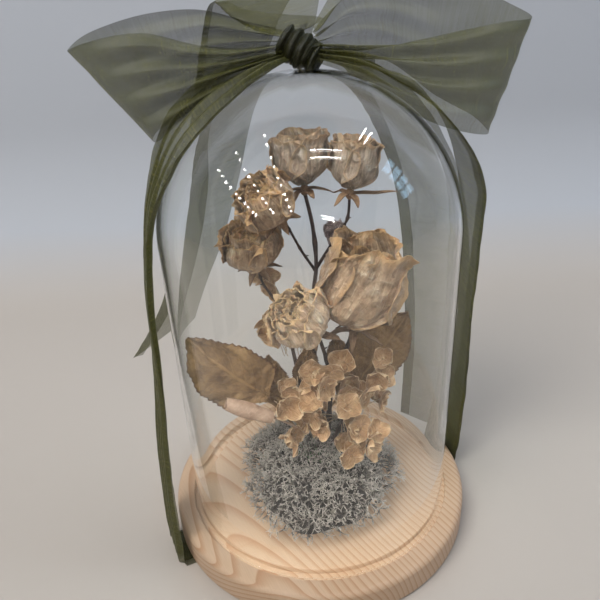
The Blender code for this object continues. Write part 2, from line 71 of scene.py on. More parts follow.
def add_camera():
    """Hand-held view from the front and above, a little rolled."""
    data = bpy.data.cameras.new("camera")
    data.lens = CAMERA_LENS
    data.clip_start = 0.01
    camera = bpy.data.objects.new("camera", data)
    tilt = Matrix.Rotation(math.radians(90 - CAMERA_ELEVATION), 4, "X")
    roll = Matrix.Rotation(math.radians(CAMERA_ROLL), 4, "Z")
    camera.matrix_world = Matrix.Translation(Vector(CAMERA_PLACE) * MM) @ tilt @ roll
    bpy.context.scene.collection.objects.link(camera)
    bpy.context.scene.camera = camera


def add_light(name, place, target, size, power, colour=(1.0, 1.0, 1.0), along=None):
    """A rectangular soft box; place and target in metres, size is (x, y) in metres.

    A lamp whose long side has a direction, along, is small and is only there to be
    mirrored by the glass; the soft boxes light the object and are not mirrored.
    """
    data = bpy.data.lights.new(name, "AREA")
    data.shape = "RECTANGLE"
    data.size, data.size_y = size
    data.energy = power
    data.color = colour
    light = bpy.data.objects.new(name, data)
    back = (Vector(place) - Vector(target)).normalized()
    across = Vector(along or (1.0, 0.0, 0.0))
    across = (across - back * across.dot(back)).normalized()
    turn = Matrix((across, back.cross(across), back)).transposed()
    light.matrix_world = Matrix.Translation(place) @ turn.to_4x4()
    light.visible_diffuse = along is None
    light.visible_glossy = along is not None
    light.visible_transmission = along is not None
    bpy.context.scene.collection.objects.link(light)


SKY_COLOUR = (0.74, 0.80, 0.92, 1.0)
SKY_STRENGTH = 0.16
# Name, place, target, size, power and colour of each soft box, in metres and watts.
SOFT_BOXES = [
    ("key_box", (-0.7, -0.7, 1.5), (0, 0, 0.1), (0.9, 0.8), 20.0, (1.0, 0.97, 0.92)),
    ("window_box", (1.5, 0.2, 1.1), (0, 0, 0.12), (0.5, 0.9), 10.0, (0.82, 0.90, 1.0)),
    ("top_box", (0.1, 0.4, 1.8), (0, 0, 0.1), (1.2, 1.2), 8.5, (1.0, 1.0, 1.0)),
    ("fill_box", (0.3, -1.6, 0.7), (0, 0, 0.12), (1.6, 1.0), 3.0, (0.95, 0.97, 1.0))]
# Lamps that the glass mirrors: tubes as (place, direction, length), in metres.
TUBES = [((0.30, -0.43, 1.63), (1.0, 0.15, -0.16), 0.50),
         ((0.30, -0.57, 1.58), (1.0, 0.15, -0.16), 0.52),
         ((0.80, 0.10, 1.50), (0.16, 1.0, -0.20), 0.30),
         ((0.88, 0.06, 1.47), (0.16, 1.0, -0.20), 0.30),
         ((0.30, -1.36, 0.89), (1.0, -0.05, -0.30), 0.26),
         ((0.30, -1.32, 0.81), (1.0, -0.05, -0.30), 0.22)]
TUBE_WIDTH = 0.015
# Pairs of ceiling lamps: columns along X and rows along -Y.
LAMP_COLUMNS = (-0.55, -1.12, -1.80)
LAMP_ROWS = (-0.16, -0.62, -1.08, -1.55, -2.05)
LAMP_HEIGHT = 1.5
LAMP_GAP = 0.2
LAMP_SIZE = 0.036
LAMP_DISTANCE = 1.6
# Panes of a window to the right: columns, rows, size, distance between middles, power.
PANE_COUNT = (2, 4)
PANE_SIZE = 0.12
PANE_PITCH = 1.25 * PANE_SIZE
PANE_MIDDLE = (1.30, -0.22, 0.95)
PANE_POWER = 0.2
PANE_BLUE = (0.45, 0.72, 1.0)
# Watts a square metre of the tubes and lamps.
MIRRORED_POWER = 330
MIRROR_MIDDLE = Vector((0.0, -0.05, 0.22))


def add_lights():
    """Four soft boxes, a dim sky, and the lamps and window that show in the glass."""
    world = bpy.data.worlds.new("studio")
    world.use_nodes = True
    sky = world.node_tree.nodes["Background"]
    sky.inputs["Color"].default_value = SKY_COLOUR
    sky.inputs["Strength"].default_value = SKY_STRENGTH
    bpy.context.scene.world = world
    for box in SOFT_BOXES:
        add_light(*box)
    for index, (place, along, length) in enumerate(TUBES):
        power = length * TUBE_WIDTH * MIRRORED_POWER
        add_light(f"tube_{index}", place, MIRROR_MIDDLE, (length, TUBE_WIDTH), power,
                  along=along)
    for column, x in enumerate(LAMP_COLUMNS):
        for row, y in enumerate(LAMP_ROWS):
            for side in (0, 1):
                spot = Vector((x, y + side * LAMP_GAP, LAMP_HEIGHT))
                size = LAMP_SIZE * (spot - MIRROR_MIDDLE).length / LAMP_DISTANCE
                add_light(f"lamp_{column}_{row}_{side}", spot, MIRROR_MIDDLE, (size, size),
                          size * size * MIRRORED_POWER, along=(1.0, 0.0, 0.0))
    back = (Vector(PANE_MIDDLE) - MIRROR_MIDDLE).normalized()
    right = Vector((0.0, 0.0, 1.0)).cross(back).normalized()
    columns, rows = PANE_COUNT
    for column in range(columns):
        for row in range(rows):
            shift = right * ((column - (columns - 1) / 2) * PANE_PITCH)
            rise = back.cross(right) * ((row - (rows - 1) / 2) * PANE_PITCH)
            add_light(f"pane_{column}_{row}", Vector(PANE_MIDDLE) + shift + rise, MIRROR_MIDDLE,
                      (PANE_SIZE, PANE_SIZE), PANE_POWER, PANE_BLUE, tuple(right))


# ---------------------------------------------------------------- materials


class Surface:
    """A procedural material: helpers that add nodes in front of one Principled shader."""

    def __init__(self, name, roughness=0.6):
        self.material = bpy.data.materials.new(name)
        self.material.use_nodes = True
        self.tree = self.material.node_tree
        self.shader = self.tree.nodes["Principled BSDF"]
        self.output = self.tree.nodes["Material Output"]
        self.level("Roughness", roughness)

    def add(self, kind, inputs=None, **settings):
        """Adds a node; inputs are values or the sockets that feed them."""
        node = self.tree.nodes.new("ShaderNode" + kind)
        for key, value in settings.items():
            setattr(node, key, value)
        for socket, value in (inputs or {}).items():
            if isinstance(value, bpy.types.NodeSocket):
                self.tree.links.new(value, node.inputs[socket])
            else:
                node.inputs[socket].default_value = value
        return node

    def feed(self, socket, value):
        """Lets a node's output drive one of the shader's sockets."""
        self.tree.links.new(value, self.shader.inputs[socket])

    def level(self, socket, value):
        """Sets a number or colour that is the same all over the surface."""
        self.shader.inputs[socket].default_value = value

    def maths(self, operation, first, second=0.0, third=0.0):
        """One sum on numbers or sockets."""
        node = self.add("Math", {0: first, 1: second, 2: third}, operation=operation)
        return node.outputs[0]

    def place(self, kind="Object", scale=(1.0, 1.0, 1.0), turn=0.0):
        """Coordinates of the given kind, turned about Z in degrees and then scaled."""
        source = self.add("TexCoord").outputs[kind]
        turned = self.add("Mapping", {"Vector": source, "Rotation": (0, 0, math.radians(turn))})
        return self.add("Mapping", {"Vector": turned.outputs[0], "Scale": scale}).outputs[0]

    def noise(self, where, scale, detail=3.0, rough=0.55, twist=0.0):
        """Soft random pattern between 0 and 1."""
        node = self.add("TexNoise", {"Vector": where, "Scale": scale, "Detail": detail,
                                     "Roughness": rough, "Distortion": twist})
        return node.outputs["Fac"]

    def crumple(self, scale):
        """Sharp ridges between soft hollows, as in crushed paper."""
        node = self.add("TexNoise", {"Vector": self.place(), "Scale": scale, "Detail": 3.0,
                                     "Roughness": 0.5}, noise_type="RIDGED_MULTIFRACTAL")
        return node.outputs["Fac"]

    def ramp(self, factor, stops):
        """Colours or grey levels by factor; stops are (place, colour)."""
        node = self.add("ValToRGB", {"Fac": factor})
        marks = node.color_ramp.elements
        while len(marks) < len(stops):
            marks.new(0.5)
        for mark, (spot, colour) in zip(marks, stops):
            if isinstance(colour, float):
                colour = (colour, colour, colour)
            mark.position = spot
            mark.color = (*colour, 1.0)
        return node.outputs["Color"]

    def mix(self, factor, first, second, blend="MIX"):
        """Two colours blended by factor."""
        node = self.add("MixRGB", {"Fac": factor, "Color1": first, "Color2": second},
                        blend_type=blend)
        return node.outputs["Color"]

    def bump(self, height, distance, strength=0.5):
        """Relief on the surface; distance in mm."""
        node = self.add("Bump", {"Height": height, "Distance": distance * MM,
                                 "Strength": strength})
        self.feed("Normal", node.outputs["Normal"])


def rgba(colour):
    """A colour with full opacity."""
    return (*colour, 1.0)


# Angle of the grain in degrees; ring width; the tree's heart, left of and below the board.
GRAIN_TURN = -27.0
RING_SPACING = 3.1 * MM
RING_CENTRE = (-64.0 * MM, -21.0 * MM)


def pine_material():
    """Growth rings of a flat-sawn board: wide arches on the left, straight lines right."""
    wood = Surface("pine_wood", 0.46)
    board = wood.place(turn=GRAIN_TURN)
    drift = wood.noise(wood.place(scale=(9, 4, 9), turn=GRAIN_TURN), 1.0, 2.0)
    axes = wood.add("SeparateXYZ", {"Vector": board}).outputs
    bend = wood.maths("MULTIPLY_ADD", drift, 0.030, -0.015 - RING_CENTRE[0])
    across = wood.maths("ADD", axes["X"], bend)
    depth = wood.maths("ADD", axes["Z"], -RING_CENTRE[1])
    taper = wood.maths("MULTIPLY", axes["Y"], 0.10)
    flat = wood.add("CombineXYZ", {"X": across, "Y": depth})
    radius = wood.add("VectorMath", {0: flat.outputs[0]}, operation="LENGTH").outputs["Value"]
    rings = wood.maths("DIVIDE", wood.maths("ADD", radius, taper), RING_SPACING)
    ring = wood.maths("FRACT", rings)
    late = wood.ramp(ring, [(0.0, 0.0), (0.55, 0.12), (0.86, 0.75), (0.95, 1.0), (1.0, 0.0)])
    fibre = wood.noise(wood.place(scale=(2600, 60, 1200), turn=GRAIN_TURN), 1.0, 3.0)
    patch = wood.noise(board, 26.0, 2.0)
    early = wood.ramp(patch, [(0.3, (0.58, 0.40, 0.26)), (0.7, (0.62, 0.45, 0.315))])
    dark = wood.ramp(patch, [(0.3, (0.42, 0.21, 0.10)), (0.7, (0.46, 0.255, 0.135))])
    base = wood.mix(wood.maths("MULTIPLY", late, 0.80), early, dark)
    streak = wood.ramp(fibre, [(0.3, 0.86), (0.65, 1.0)])
    colour = wood.mix(0.75, base, streak, "MULTIPLY")
    wood.feed("Base Color", colour)
    wood.feed("Roughness", wood.maths("MULTIPLY_ADD", fibre, 0.22, 0.36))
    height = wood.maths("MULTIPLY_ADD", late, 0.5, fibre)
    wood.bump(height, 0.12, 0.35)
    wood.level("Specular IOR Level", 0.35)
    return wood.material


def glass_material():
    """Clear blown glass; lamps shine through it, as they do through thin real walls."""
    glass = Surface("clear_glass", 0.0)
    glass.level("Base Color", (0.985, 0.995, 0.99, 1.0))
    glass.level("Transmission Weight", 1.0)
    glass.level("IOR", 1.44)
    swell = glass.noise(glass.place(scale=(1.0, 1.0, 0.35)), 24.0, 1.0)
    glass.bump(swell, 0.5, 0.12)
    clear = glass.add("BsdfTransparent", {"Color": (0.95, 0.965, 0.96, 1.0)})
    path = glass.add("LightPath")
    both = glass.add("MixShader", {0: path.outputs["Is Shadow Ray"],
                                   1: glass.shader.outputs[0], 2: clear.outputs[0]})
    glass.tree.links.new(both.outputs[0], glass.output.inputs["Surface"])
    return glass.material


THREAD_PITCH = 0.42 * MM


def organza_material(name="olive_organza", depth=1.0, closed=0.41):
    """Sheer weave: thread by thread see-through, opaque at the woven hems.

    A depth below 1 paints shade into its colour, for the shadow between gathered
    layers, and a larger closed share thickens it, as gathered layers do.
    """
    cloth = Surface(name, 0.42)
    where = cloth.place("UV")
    axes = cloth.add("SeparateXYZ", {"Vector": where}).outputs
    threads = []
    for axis in ("X", "Y"):
        wave = cloth.maths("SINE", cloth.maths("MULTIPLY", axes[axis], math.tau / THREAD_PITCH))
        threads.append(cloth.maths("MULTIPLY_ADD", wave, 0.5, 0.5))
    weave = cloth.maths("MAXIMUM", *threads)
    slub = cloth.noise(cloth.place("UV", scale=(40, 900, 1)), 1.0, 2.0)
    cloud = cloth.noise(where, 60.0, 2.0)
    edge = cloth.maths("ABSOLUTE", axes["X"])
    hem = cloth.ramp(edge, [(0.0, 0.0), (0.0235, 0.0), (0.0238, 1.0), (1.0, 1.0)])
    cover = cloth.maths("MULTIPLY_ADD", weave, 0.30, closed)
    cover = cloth.maths("ADD", cover, cloth.maths("MULTIPLY_ADD", slub, 0.16, -0.08))
    cover = cloth.maths("ADD", cover, cloth.maths("MULTIPLY_ADD", cloud, 0.16, -0.08))
    cloth.feed("Alpha", cloth.maths("MAXIMUM", cover, cloth.maths("MULTIPLY", hem, 0.93)))
    tones = ((0.25, (0.045, 0.047, 0.006)), (0.55, (0.074, 0.075, 0.010)),
             (0.85, (0.150, 0.142, 0.024)))
    # A depth below 1 paints shade into the thread colour.
    shade = cloth.ramp(slub, [(spot, tuple(part * depth for part in tone))
                              for spot, tone in tones])
    glint = cloth.noise(cloth.place("UV", scale=(1100, 1700, 1)), 1.0, 1.0, 0.5)
    spark = cloth.ramp(glint, [(0.0, 0.0), (0.66, 0.0), (0.74, 1.0), (1.0, 1.0)])
    lit = cloth.mix(cloth.maths("MULTIPLY", spark, 0.5), shade, rgba((0.36, 0.33, 0.06)))
    cloth.feed("Base Color", cloth.mix(hem, lit, rgba((0.030, 0.032, 0.008))))
    cloth.level("Sheen Weight", 0.06)
    cloth.level("Sheen Roughness", 0.35)
    cloth.level("Sheen Tint", (0.75, 0.76, 0.30, 1.0))
    cloth.bump(weave, 0.05, 0.3)
    return cloth.material


def petal_material(name, deep, mid, light, rim, crinkle=2.2):
    """Dried petal: veins that fan from the claw, dull patches, a rim browned on the roses, and
    painted shade in the hollows of its crumples.
    """
    petal = Surface(name, 0.72)
    where = petal.place("UV")
    axes = petal.add("SeparateXYZ", {"Vector": where}).outputs
    veins = petal.noise(petal.place("UV", scale=(22, 1.6, 1)), 1.0, 4.0, 0.6, 0.4)
    patch = petal.noise(petal.place(), 150.0, 4.0, 0.6)
    tone = petal.maths("MULTIPLY_ADD", veins, 0.55, petal.maths("MULTIPLY", patch, 0.45))
    body = petal.ramp(tone, [(0.30, deep), (0.50, mid), (0.68, light)])
    side = petal.maths("ABSOLUTE", petal.maths("SUBTRACT", axes["X"], 0.5))
    reach = petal.maths("MAXIMUM", axes["Y"], petal.maths("MULTIPLY", side, 1.9))
    ragged = petal.maths("ADD", reach, petal.maths("MULTIPLY_ADD", patch, 0.22, -0.11))
    edge = petal.ramp(ragged, [(0.0, 0.0), (0.86, 0.0), (0.985, 1.0), (1.0, 1.0)])
    crumple = petal.crumple(170.0)
    crease = petal.crumple(520.0)
    height = petal.maths("MULTIPLY_ADD", crease, 0.45, crumple)
    # Painted shade: the low places of the crumples darken the colour, not only the bump.
    crease_shade = petal.ramp(height, [(0.15, (0.66, 0.52, 0.42)), (0.50, (0.94, 0.90, 0.86)),
                                 (0.80, 1.0)])
    body = petal.mix(0.8, body, crease_shade, "MULTIPLY")
    petal.feed("Base Color", petal.mix(petal.maths("MULTIPLY", edge, 0.7), body, rgba(rim)))
    petal.level("Sheen Weight", 0.15)
    petal.level("Subsurface Weight", 0.12)
    petal.level("Subsurface Radius", (0.004, 0.002, 0.001))
    petal.bump(petal.maths("MULTIPLY_ADD", veins, 0.4, height), crinkle, 0.9)
    return petal.material


def leaf_material(name, deep, light, rim, side_veins=9.0):
    """Dried leaf: pale midrib and side veins on mottled brown, dark at the rim."""
    leaf = Surface(name, 0.62)
    where = leaf.place("UV")
    axes = leaf.add("SeparateXYZ", {"Vector": where}).outputs
    side = leaf.maths("ABSOLUTE", leaf.maths("SUBTRACT", axes["X"], 0.5))
    slope = leaf.maths("MULTIPLY_ADD", side, -0.75, axes["Y"])
    wave = leaf.maths("FRACT", leaf.maths("MULTIPLY", slope, side_veins))
    rib = leaf.ramp(wave, [(0.0, 1.0), (0.06, 0.25), (0.14, 0.0), (0.93, 0.0), (1.0, 1.0)])
    midrib = leaf.ramp(side, [(0.0, 1.0), (0.018, 0.8), (0.035, 0.0), (1.0, 0.0)])
    veins = leaf.maths("MAXIMUM", leaf.maths("MULTIPLY", rib, 0.45), midrib)
    patch = leaf.noise(leaf.place(), 90.0, 5.0, 0.65)
    net = leaf.noise(leaf.place(), 700.0, 2.0)
    mottled = leaf.ramp(patch, [(0.28, deep), (0.66, light)])
    fine = leaf.mix(0.35, mottled, leaf.ramp(net, [(0.3, 0.62), (0.7, 1.0)]), "MULTIPLY")
    pale = tuple(min(1.0, value * 1.35) for value in light)
    ribbed = leaf.mix(leaf.maths("MULTIPLY", veins, 0.45), fine, rgba(pale))
    edge = leaf.ramp(side, [(0.0, 0.0), (0.465, 0.0), (0.497, 1.0), (1.0, 1.0)])
    leaf.feed("Base Color", leaf.mix(leaf.maths("MULTIPLY", edge, 0.8), ribbed, rgba(rim)))
    height = leaf.maths("ADD", leaf.maths("MULTIPLY", veins, 1.2), leaf.maths("MULTIPLY", net, 0.5))
    leaf.bump(leaf.maths("ADD", height, patch), 0.5, 0.6)
    leaf.level("Specular IOR Level", 0.3)
    return leaf.material


def twig_material(name, deep, light):
    """Dry bark: streaks along the stem and small dark pits."""
    bark = Surface(name, 0.75)
    streak = bark.noise(bark.place(scale=(1.0, 1.0, 0.18)), 1500.0, 3.0)
    pit = bark.noise(bark.place(), 420.0, 2.0)
    tone = bark.maths("MULTIPLY_ADD", streak, 0.6, bark.maths("MULTIPLY", pit, 0.4))
    bark.feed("Base Color", bark.ramp(tone, [(0.32, deep), (0.66, light)]))
    bark.bump(tone, 0.3, 0.6)
    return bark.material


def moss_material(name, deep, mid, light):
    """Reindeer moss: painted shade at the root of each sprig, deep in the cushion, and pale at its
    tips.
    """
    moss = Surface(name, 0.9)
    axes = moss.add("SeparateXYZ", {"Vector": moss.place("UV")}).outputs
    drift = moss.noise(moss.place(), 70.0, 3.0)
    grit = moss.noise(moss.place(), 1800.0, 2.0)
    # The V of the UVs runs from a sprig's root to its tip; the low end gets painted shade.
    tone = moss.maths("MULTIPLY_ADD", drift, 0.55, moss.maths("MULTIPLY", axes["Y"], 0.62))
    tone = moss.maths("ADD", tone, moss.maths("MULTIPLY_ADD", grit, 0.24, -0.12))
    moss.feed("Base Color", moss.ramp(tone, [(0.30, deep), (0.60, mid), (0.92, light)]))
    moss.bump(grit, 0.15, 0.5)
    return moss.material


def foam_material():
    """Dark green foam full of pores, with painted shade in each pore."""
    foam = Surface("dry_floral_foam", 0.95)
    pores = foam.add("TexVoronoi", {"Vector": foam.place(), "Scale": 900.0}).outputs["Distance"]
    # Painted shade: the ramp darkens the foam towards the middle of each pore.
    greens = [(0.0, (0.03, 0.05, 0.03)), (0.6, (0.13, 0.19, 0.10))]
    foam.feed("Base Color", foam.ramp(pores, greens))
    foam.bump(pores, 0.4, 0.8)
    return foam.material


def floor_material():
    """Plain pale studio paper, warm below and cooler where it rises behind."""
    paper = Surface("studio_paper", 0.85)
    height = paper.add("SeparateXYZ", {"Vector": paper.place()}).outputs["Z"]
    paper.feed("Base Color", paper.ramp(height, [(0.0, (0.52, 0.475, 0.43)),
                                                 (0.05, (0.50, 0.525, 0.57)),
                                                 (1.0, (0.50, 0.55, 0.65))]))
    return paper.material


# ---------------------------------------------------------------- mesh tools


def spline(points, count):
    """Catmull-Rom curve through tuples of any length, sampled at count places."""
    last = len(points) - 1
    samples = []
    for index in range(count):
        position = last * index / (count - 1)
        start = min(int(position), last - 1)
        part = position - start
        a = points[max(start - 1, 0)]
        b = points[start]
        c = points[start + 1]
        d = points[min(start + 2, last)]
        samples.append(tuple(
            0.5 * (2 * q + (r - p) * part + (2 * p - 5 * q + 4 * r - s) * part**2
                   + (3 * q - p - 3 * r + s) * part**3)
            for p, q, r, s in zip(a, b, c, d)))
    return samples


def smooth(low, high, value):
    """Eased step from 0 at low to 1 at high; low may be the larger."""
    part = min(max((value - low) / (high - low), 0.0), 1.0)
    return part * part * (3 - 2 * part)


def wobble(x, y, seed):
    """Smooth noise from -1 to 1."""
    return noise.noise(Vector((x, y, seed)))


class Rows:
    """A surface as rows of points with their UVs, filled point by point."""

    def __init__(self):
        self.points = []
        self.uvs = []

    def start(self):
        """Begins the next row."""
        self.points.append([])
        self.uvs.append([])

    def add(self, point, uv):
        """Puts a point at the end of the row begun last."""
        self.points[-1].append(point)
        self.uvs[-1].append(uv)


class Shape:
    """Vertices and faces of one piece, gathered from several surfaces, with UVs."""

    def __init__(self):
        self.points = []
        self.faces = []
        self.uvs = []

    def grid(self, rows):
        """A surface through rows of points."""
        first = len(self.points)
        width = len(rows.points[0])
        for row, uv_row in zip(rows.points, rows.uvs):
            self.points += [tuple(point) for point in row]
            self.uvs += uv_row
        for i in range(len(rows.points) - 1):
            for j in range(width - 1):
                corner = first + i * width + j
                self.faces.append((corner, corner + 1, corner + width + 1, corner + width))

    def thick_grid(self, rows, thickness):
        """The same surface with a small thickness, closed round its rim."""
        first = len(self.points)
        count, width = len(rows.points), len(rows.points[0])
        normals = grid_normals(rows.points)
        for side in (0.5, -0.5):
            for i in range(count):
                for j in range(width):
                    point = rows.points[i][j] + normals[i][j] * (side * thickness)
                    self.points.append(tuple(point))
                    self.uvs.append(rows.uvs[i][j])
        under = count * width
        for i in range(count - 1):
            for j in range(width - 1):
                a = first + i * width + j
                b, c, d = a + 1, a + width + 1, a + width
                self.faces.append((a, d, c, b))
                self.faces.append((a + under, b + under, c + under, d + under))
        rim = [(0, j) for j in range(width)]
        rim += [(i, width - 1) for i in range(1, count)]
        rim += [(count - 1, j) for j in range(width - 2, -1, -1)]
        rim += [(i, 0) for i in range(count - 2, 0, -1)]
        spots = [first + i * width + j for i, j in rim]
        for here, after in zip(spots, spots[1:] + spots[:1]):
            self.faces.append((here, after, after + under, here + under))

    def tube(self, route, radii, sides=6):
        """A round tube along route, closed at both ends; radii has one value a point."""
        first = len(self.points)
        count = len(route)
        route = [Vector(point) for point in route]
        guide = Vector((0.31, 0.17, 0.93))
        for index, (point, radius) in enumerate(zip(route, radii)):
            along = (route[min(index + 1, count - 1)] - route[max(index - 1, 0)]).normalized()
            if abs(along.dot(guide)) > 0.95:
                guide = Vector((0.93, 0.31, 0.17))
            first_side = along.cross(guide).normalized()
            second_side = along.cross(first_side)
            for step in range(sides):
                angle = math.tau * step / sides
                ring = first_side * math.cos(angle) + second_side * math.sin(angle)
                self.points.append(tuple(point + ring * radius))
                self.uvs.append((step / sides, index / (count - 1)))
        for index in range(count - 1):
            for step in range(sides):
                a = first + index * sides + step
                b = first + index * sides + (step + 1) % sides
                self.faces.append((a, b, b + sides, a + sides))
        self.faces.append(tuple(first + step for step in reversed(range(sides))))
        top = first + (count - 1) * sides
        self.faces.append(tuple(top + step for step in range(sides)))

    def lathe(self, profile, steps):
        """Turns a closed (radius, height) profile about Z; points on the axis are shared."""
        first = len(self.points)
        count = len(profile)
        for step in range(steps):
            angle = math.tau * step / steps
            for radius, height in profile:
                self.points.append((radius * math.cos(angle), radius * math.sin(angle), height))
                self.uvs.append((step / steps, height / 300.0))
        for step in range(steps):
            after = (step + 1) % steps
            for index in range(count):
                nearby = (index + 1) % count
                a, b = first + step * count + index, first + step * count + nearby
                c, d = first + after * count + nearby, first + after * count + index
                self.faces.append((a, b, c, d))

    def ball(self, centre, radii, across=12, up=8, lump=0.0, seed=0.0):
        """A closed egg; lump roughens it."""
        rows = Rows()
        for i in range(up + 1):
            polar = math.pi * i / up
            rows.start()
            for j in range(across + 1):
                angle = math.tau * (j % across) / across
                ray = Vector((math.sin(polar) * math.cos(angle),
                              math.sin(polar) * math.sin(angle), math.cos(polar)))
                size = 1.0 + lump * noise.noise(ray * 2.5 + Vector((seed, 0, 0)))
                ray = Vector((ray.x * radii[0], ray.y * radii[1], ray.z * radii[2]))
                rows.add(Vector(centre) + ray * size, (j / across, i / up))
        self.grid(rows)

    def build(self, name, material, body, replaced=(), at=None, sharp=40):
        """Makes the object, welds seams, shades it smooth and hangs it on its body."""
        mesh = bpy.data.meshes.new(name)
        place = at or Matrix.Identity(4)
        points = [tuple((place @ Vector(point)) * MM) for point in self.points]
        mesh.from_pydata(points, [], self.faces)
        layer = mesh.uv_layers.new(name="UVMap")
        for loop in mesh.loops:
            layer.data[loop.index].uv = self.uvs[loop.vertex_index]
        bm = bmesh.new()
        bm.from_mesh(mesh)
        bmesh.ops.remove_doubles(bm, verts=bm.verts, dist=0.002 * MM)
        bmesh.ops.recalc_face_normals(bm, faces=bm.faces)
        bm.to_mesh(mesh)
        bm.free()
        mesh.shade_smooth()
        mesh.set_sharp_from_angle(angle=math.radians(sharp))
        mesh.materials.append(material)
        piece = bpy.data.objects.new(name, mesh)
        bpy.context.scene.collection.objects.link(piece)
        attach(piece, body)
        if replaced:
            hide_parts(*replaced)
        return piece


def grid_normals(rows):
    """The direction that a surface faces at each of its points."""
    count, width = len(rows), len(rows[0])
    normals = []
    for i in range(count):
        line = []
        for j in range(width):
            along = rows[min(i + 1, count - 1)][j] - rows[max(i - 1, 0)][j]
            across = rows[i][min(j + 1, width - 1)] - rows[i][max(j - 1, 0)]
            line.append(along.cross(across).normalized())
        normals.append(line)
    return normals


# ---------------------------------------------------------------- base and glass


def arc(centre, radius, start, end, steps):
    """Points of a circle's arc between two angles in degrees."""
    points = []
    for step in range(steps + 1):
        angle = math.radians(start + (end - start) * step / steps)
        points.append((centre[0] + radius * math.cos(angle),
                       centre[1] + radius * math.sin(angle)))
    return points


# Inner and outer radius and depth of the groove, and the radii of the turned edges.
GROOVE = (68.5, 77.0, 3.2)
GROOVE_ROUND = 0.6
EDGE_ROUND = 3.0
FOOT_ROUND = 1.2
# A turned profile stops just short of the axis; steps round a turned piece.
AXIS_GAP = 0.02
TURNED_STEPS = 160


def add_base(material):
    """The turned disc, with the small radii that a lathe and sandpaper leave."""
    low, high = box_mm("wood_base")
    radius, top, foot = high.x, high.z, low.z
    inner, outer, depth = GROOVE
    soft, bevel = GROOVE_ROUND, FOOT_ROUND
    profile = [(AXIS_GAP, top)]
    profile += arc((inner - soft, top - soft), soft, 90, 0, 4)
    profile += [(inner, top - depth), (outer, top - depth)]
    profile += arc((outer + soft, top - soft), soft, 180, 90, 4)
    profile += arc((radius - EDGE_ROUND, top - EDGE_ROUND), EDGE_ROUND, 90, 0, 8)
    profile += arc((radius - bevel, foot + bevel), bevel, 0, -90, 4)
    profile += [(AXIS_GAP, foot)]
    disc = Shape()
    disc.lathe(profile, TURNED_STEPS)
    disc.build("pine_base", material, "base", ["wood_base"], sharp=50)


GLASS_WALL = 2.2


def add_glass(material):
    """Blown dome: even wall, half-round crown and a fire-polished foot."""
    low, high = box_mm("glass_dome")
    outer, top, foot = high.x, high.z, low.z
    inner = outer - GLASS_WALL
    spring = top - outer
    lip = GLASS_WALL / 2
    profile = arc((0.0, spring), outer, 89.98, 0, 40)
    profile += [(outer, spring - 40.0), (outer, spring - 100.0)]
    profile += arc((outer - lip, foot + lip), lip, 0, -180, 8)
    profile += [(inner, spring - 100.0), (inner, spring - 40.0)]
    profile += arc((0.0, spring), inner, 0, 89.98, 40)
    dome = Shape()
    dome.lathe(profile, TURNED_STEPS)
    dome.build("glass_bell", material, "cover", ["glass_dome"], sharp=80)


# ---------------------------------------------------------------- ribbon

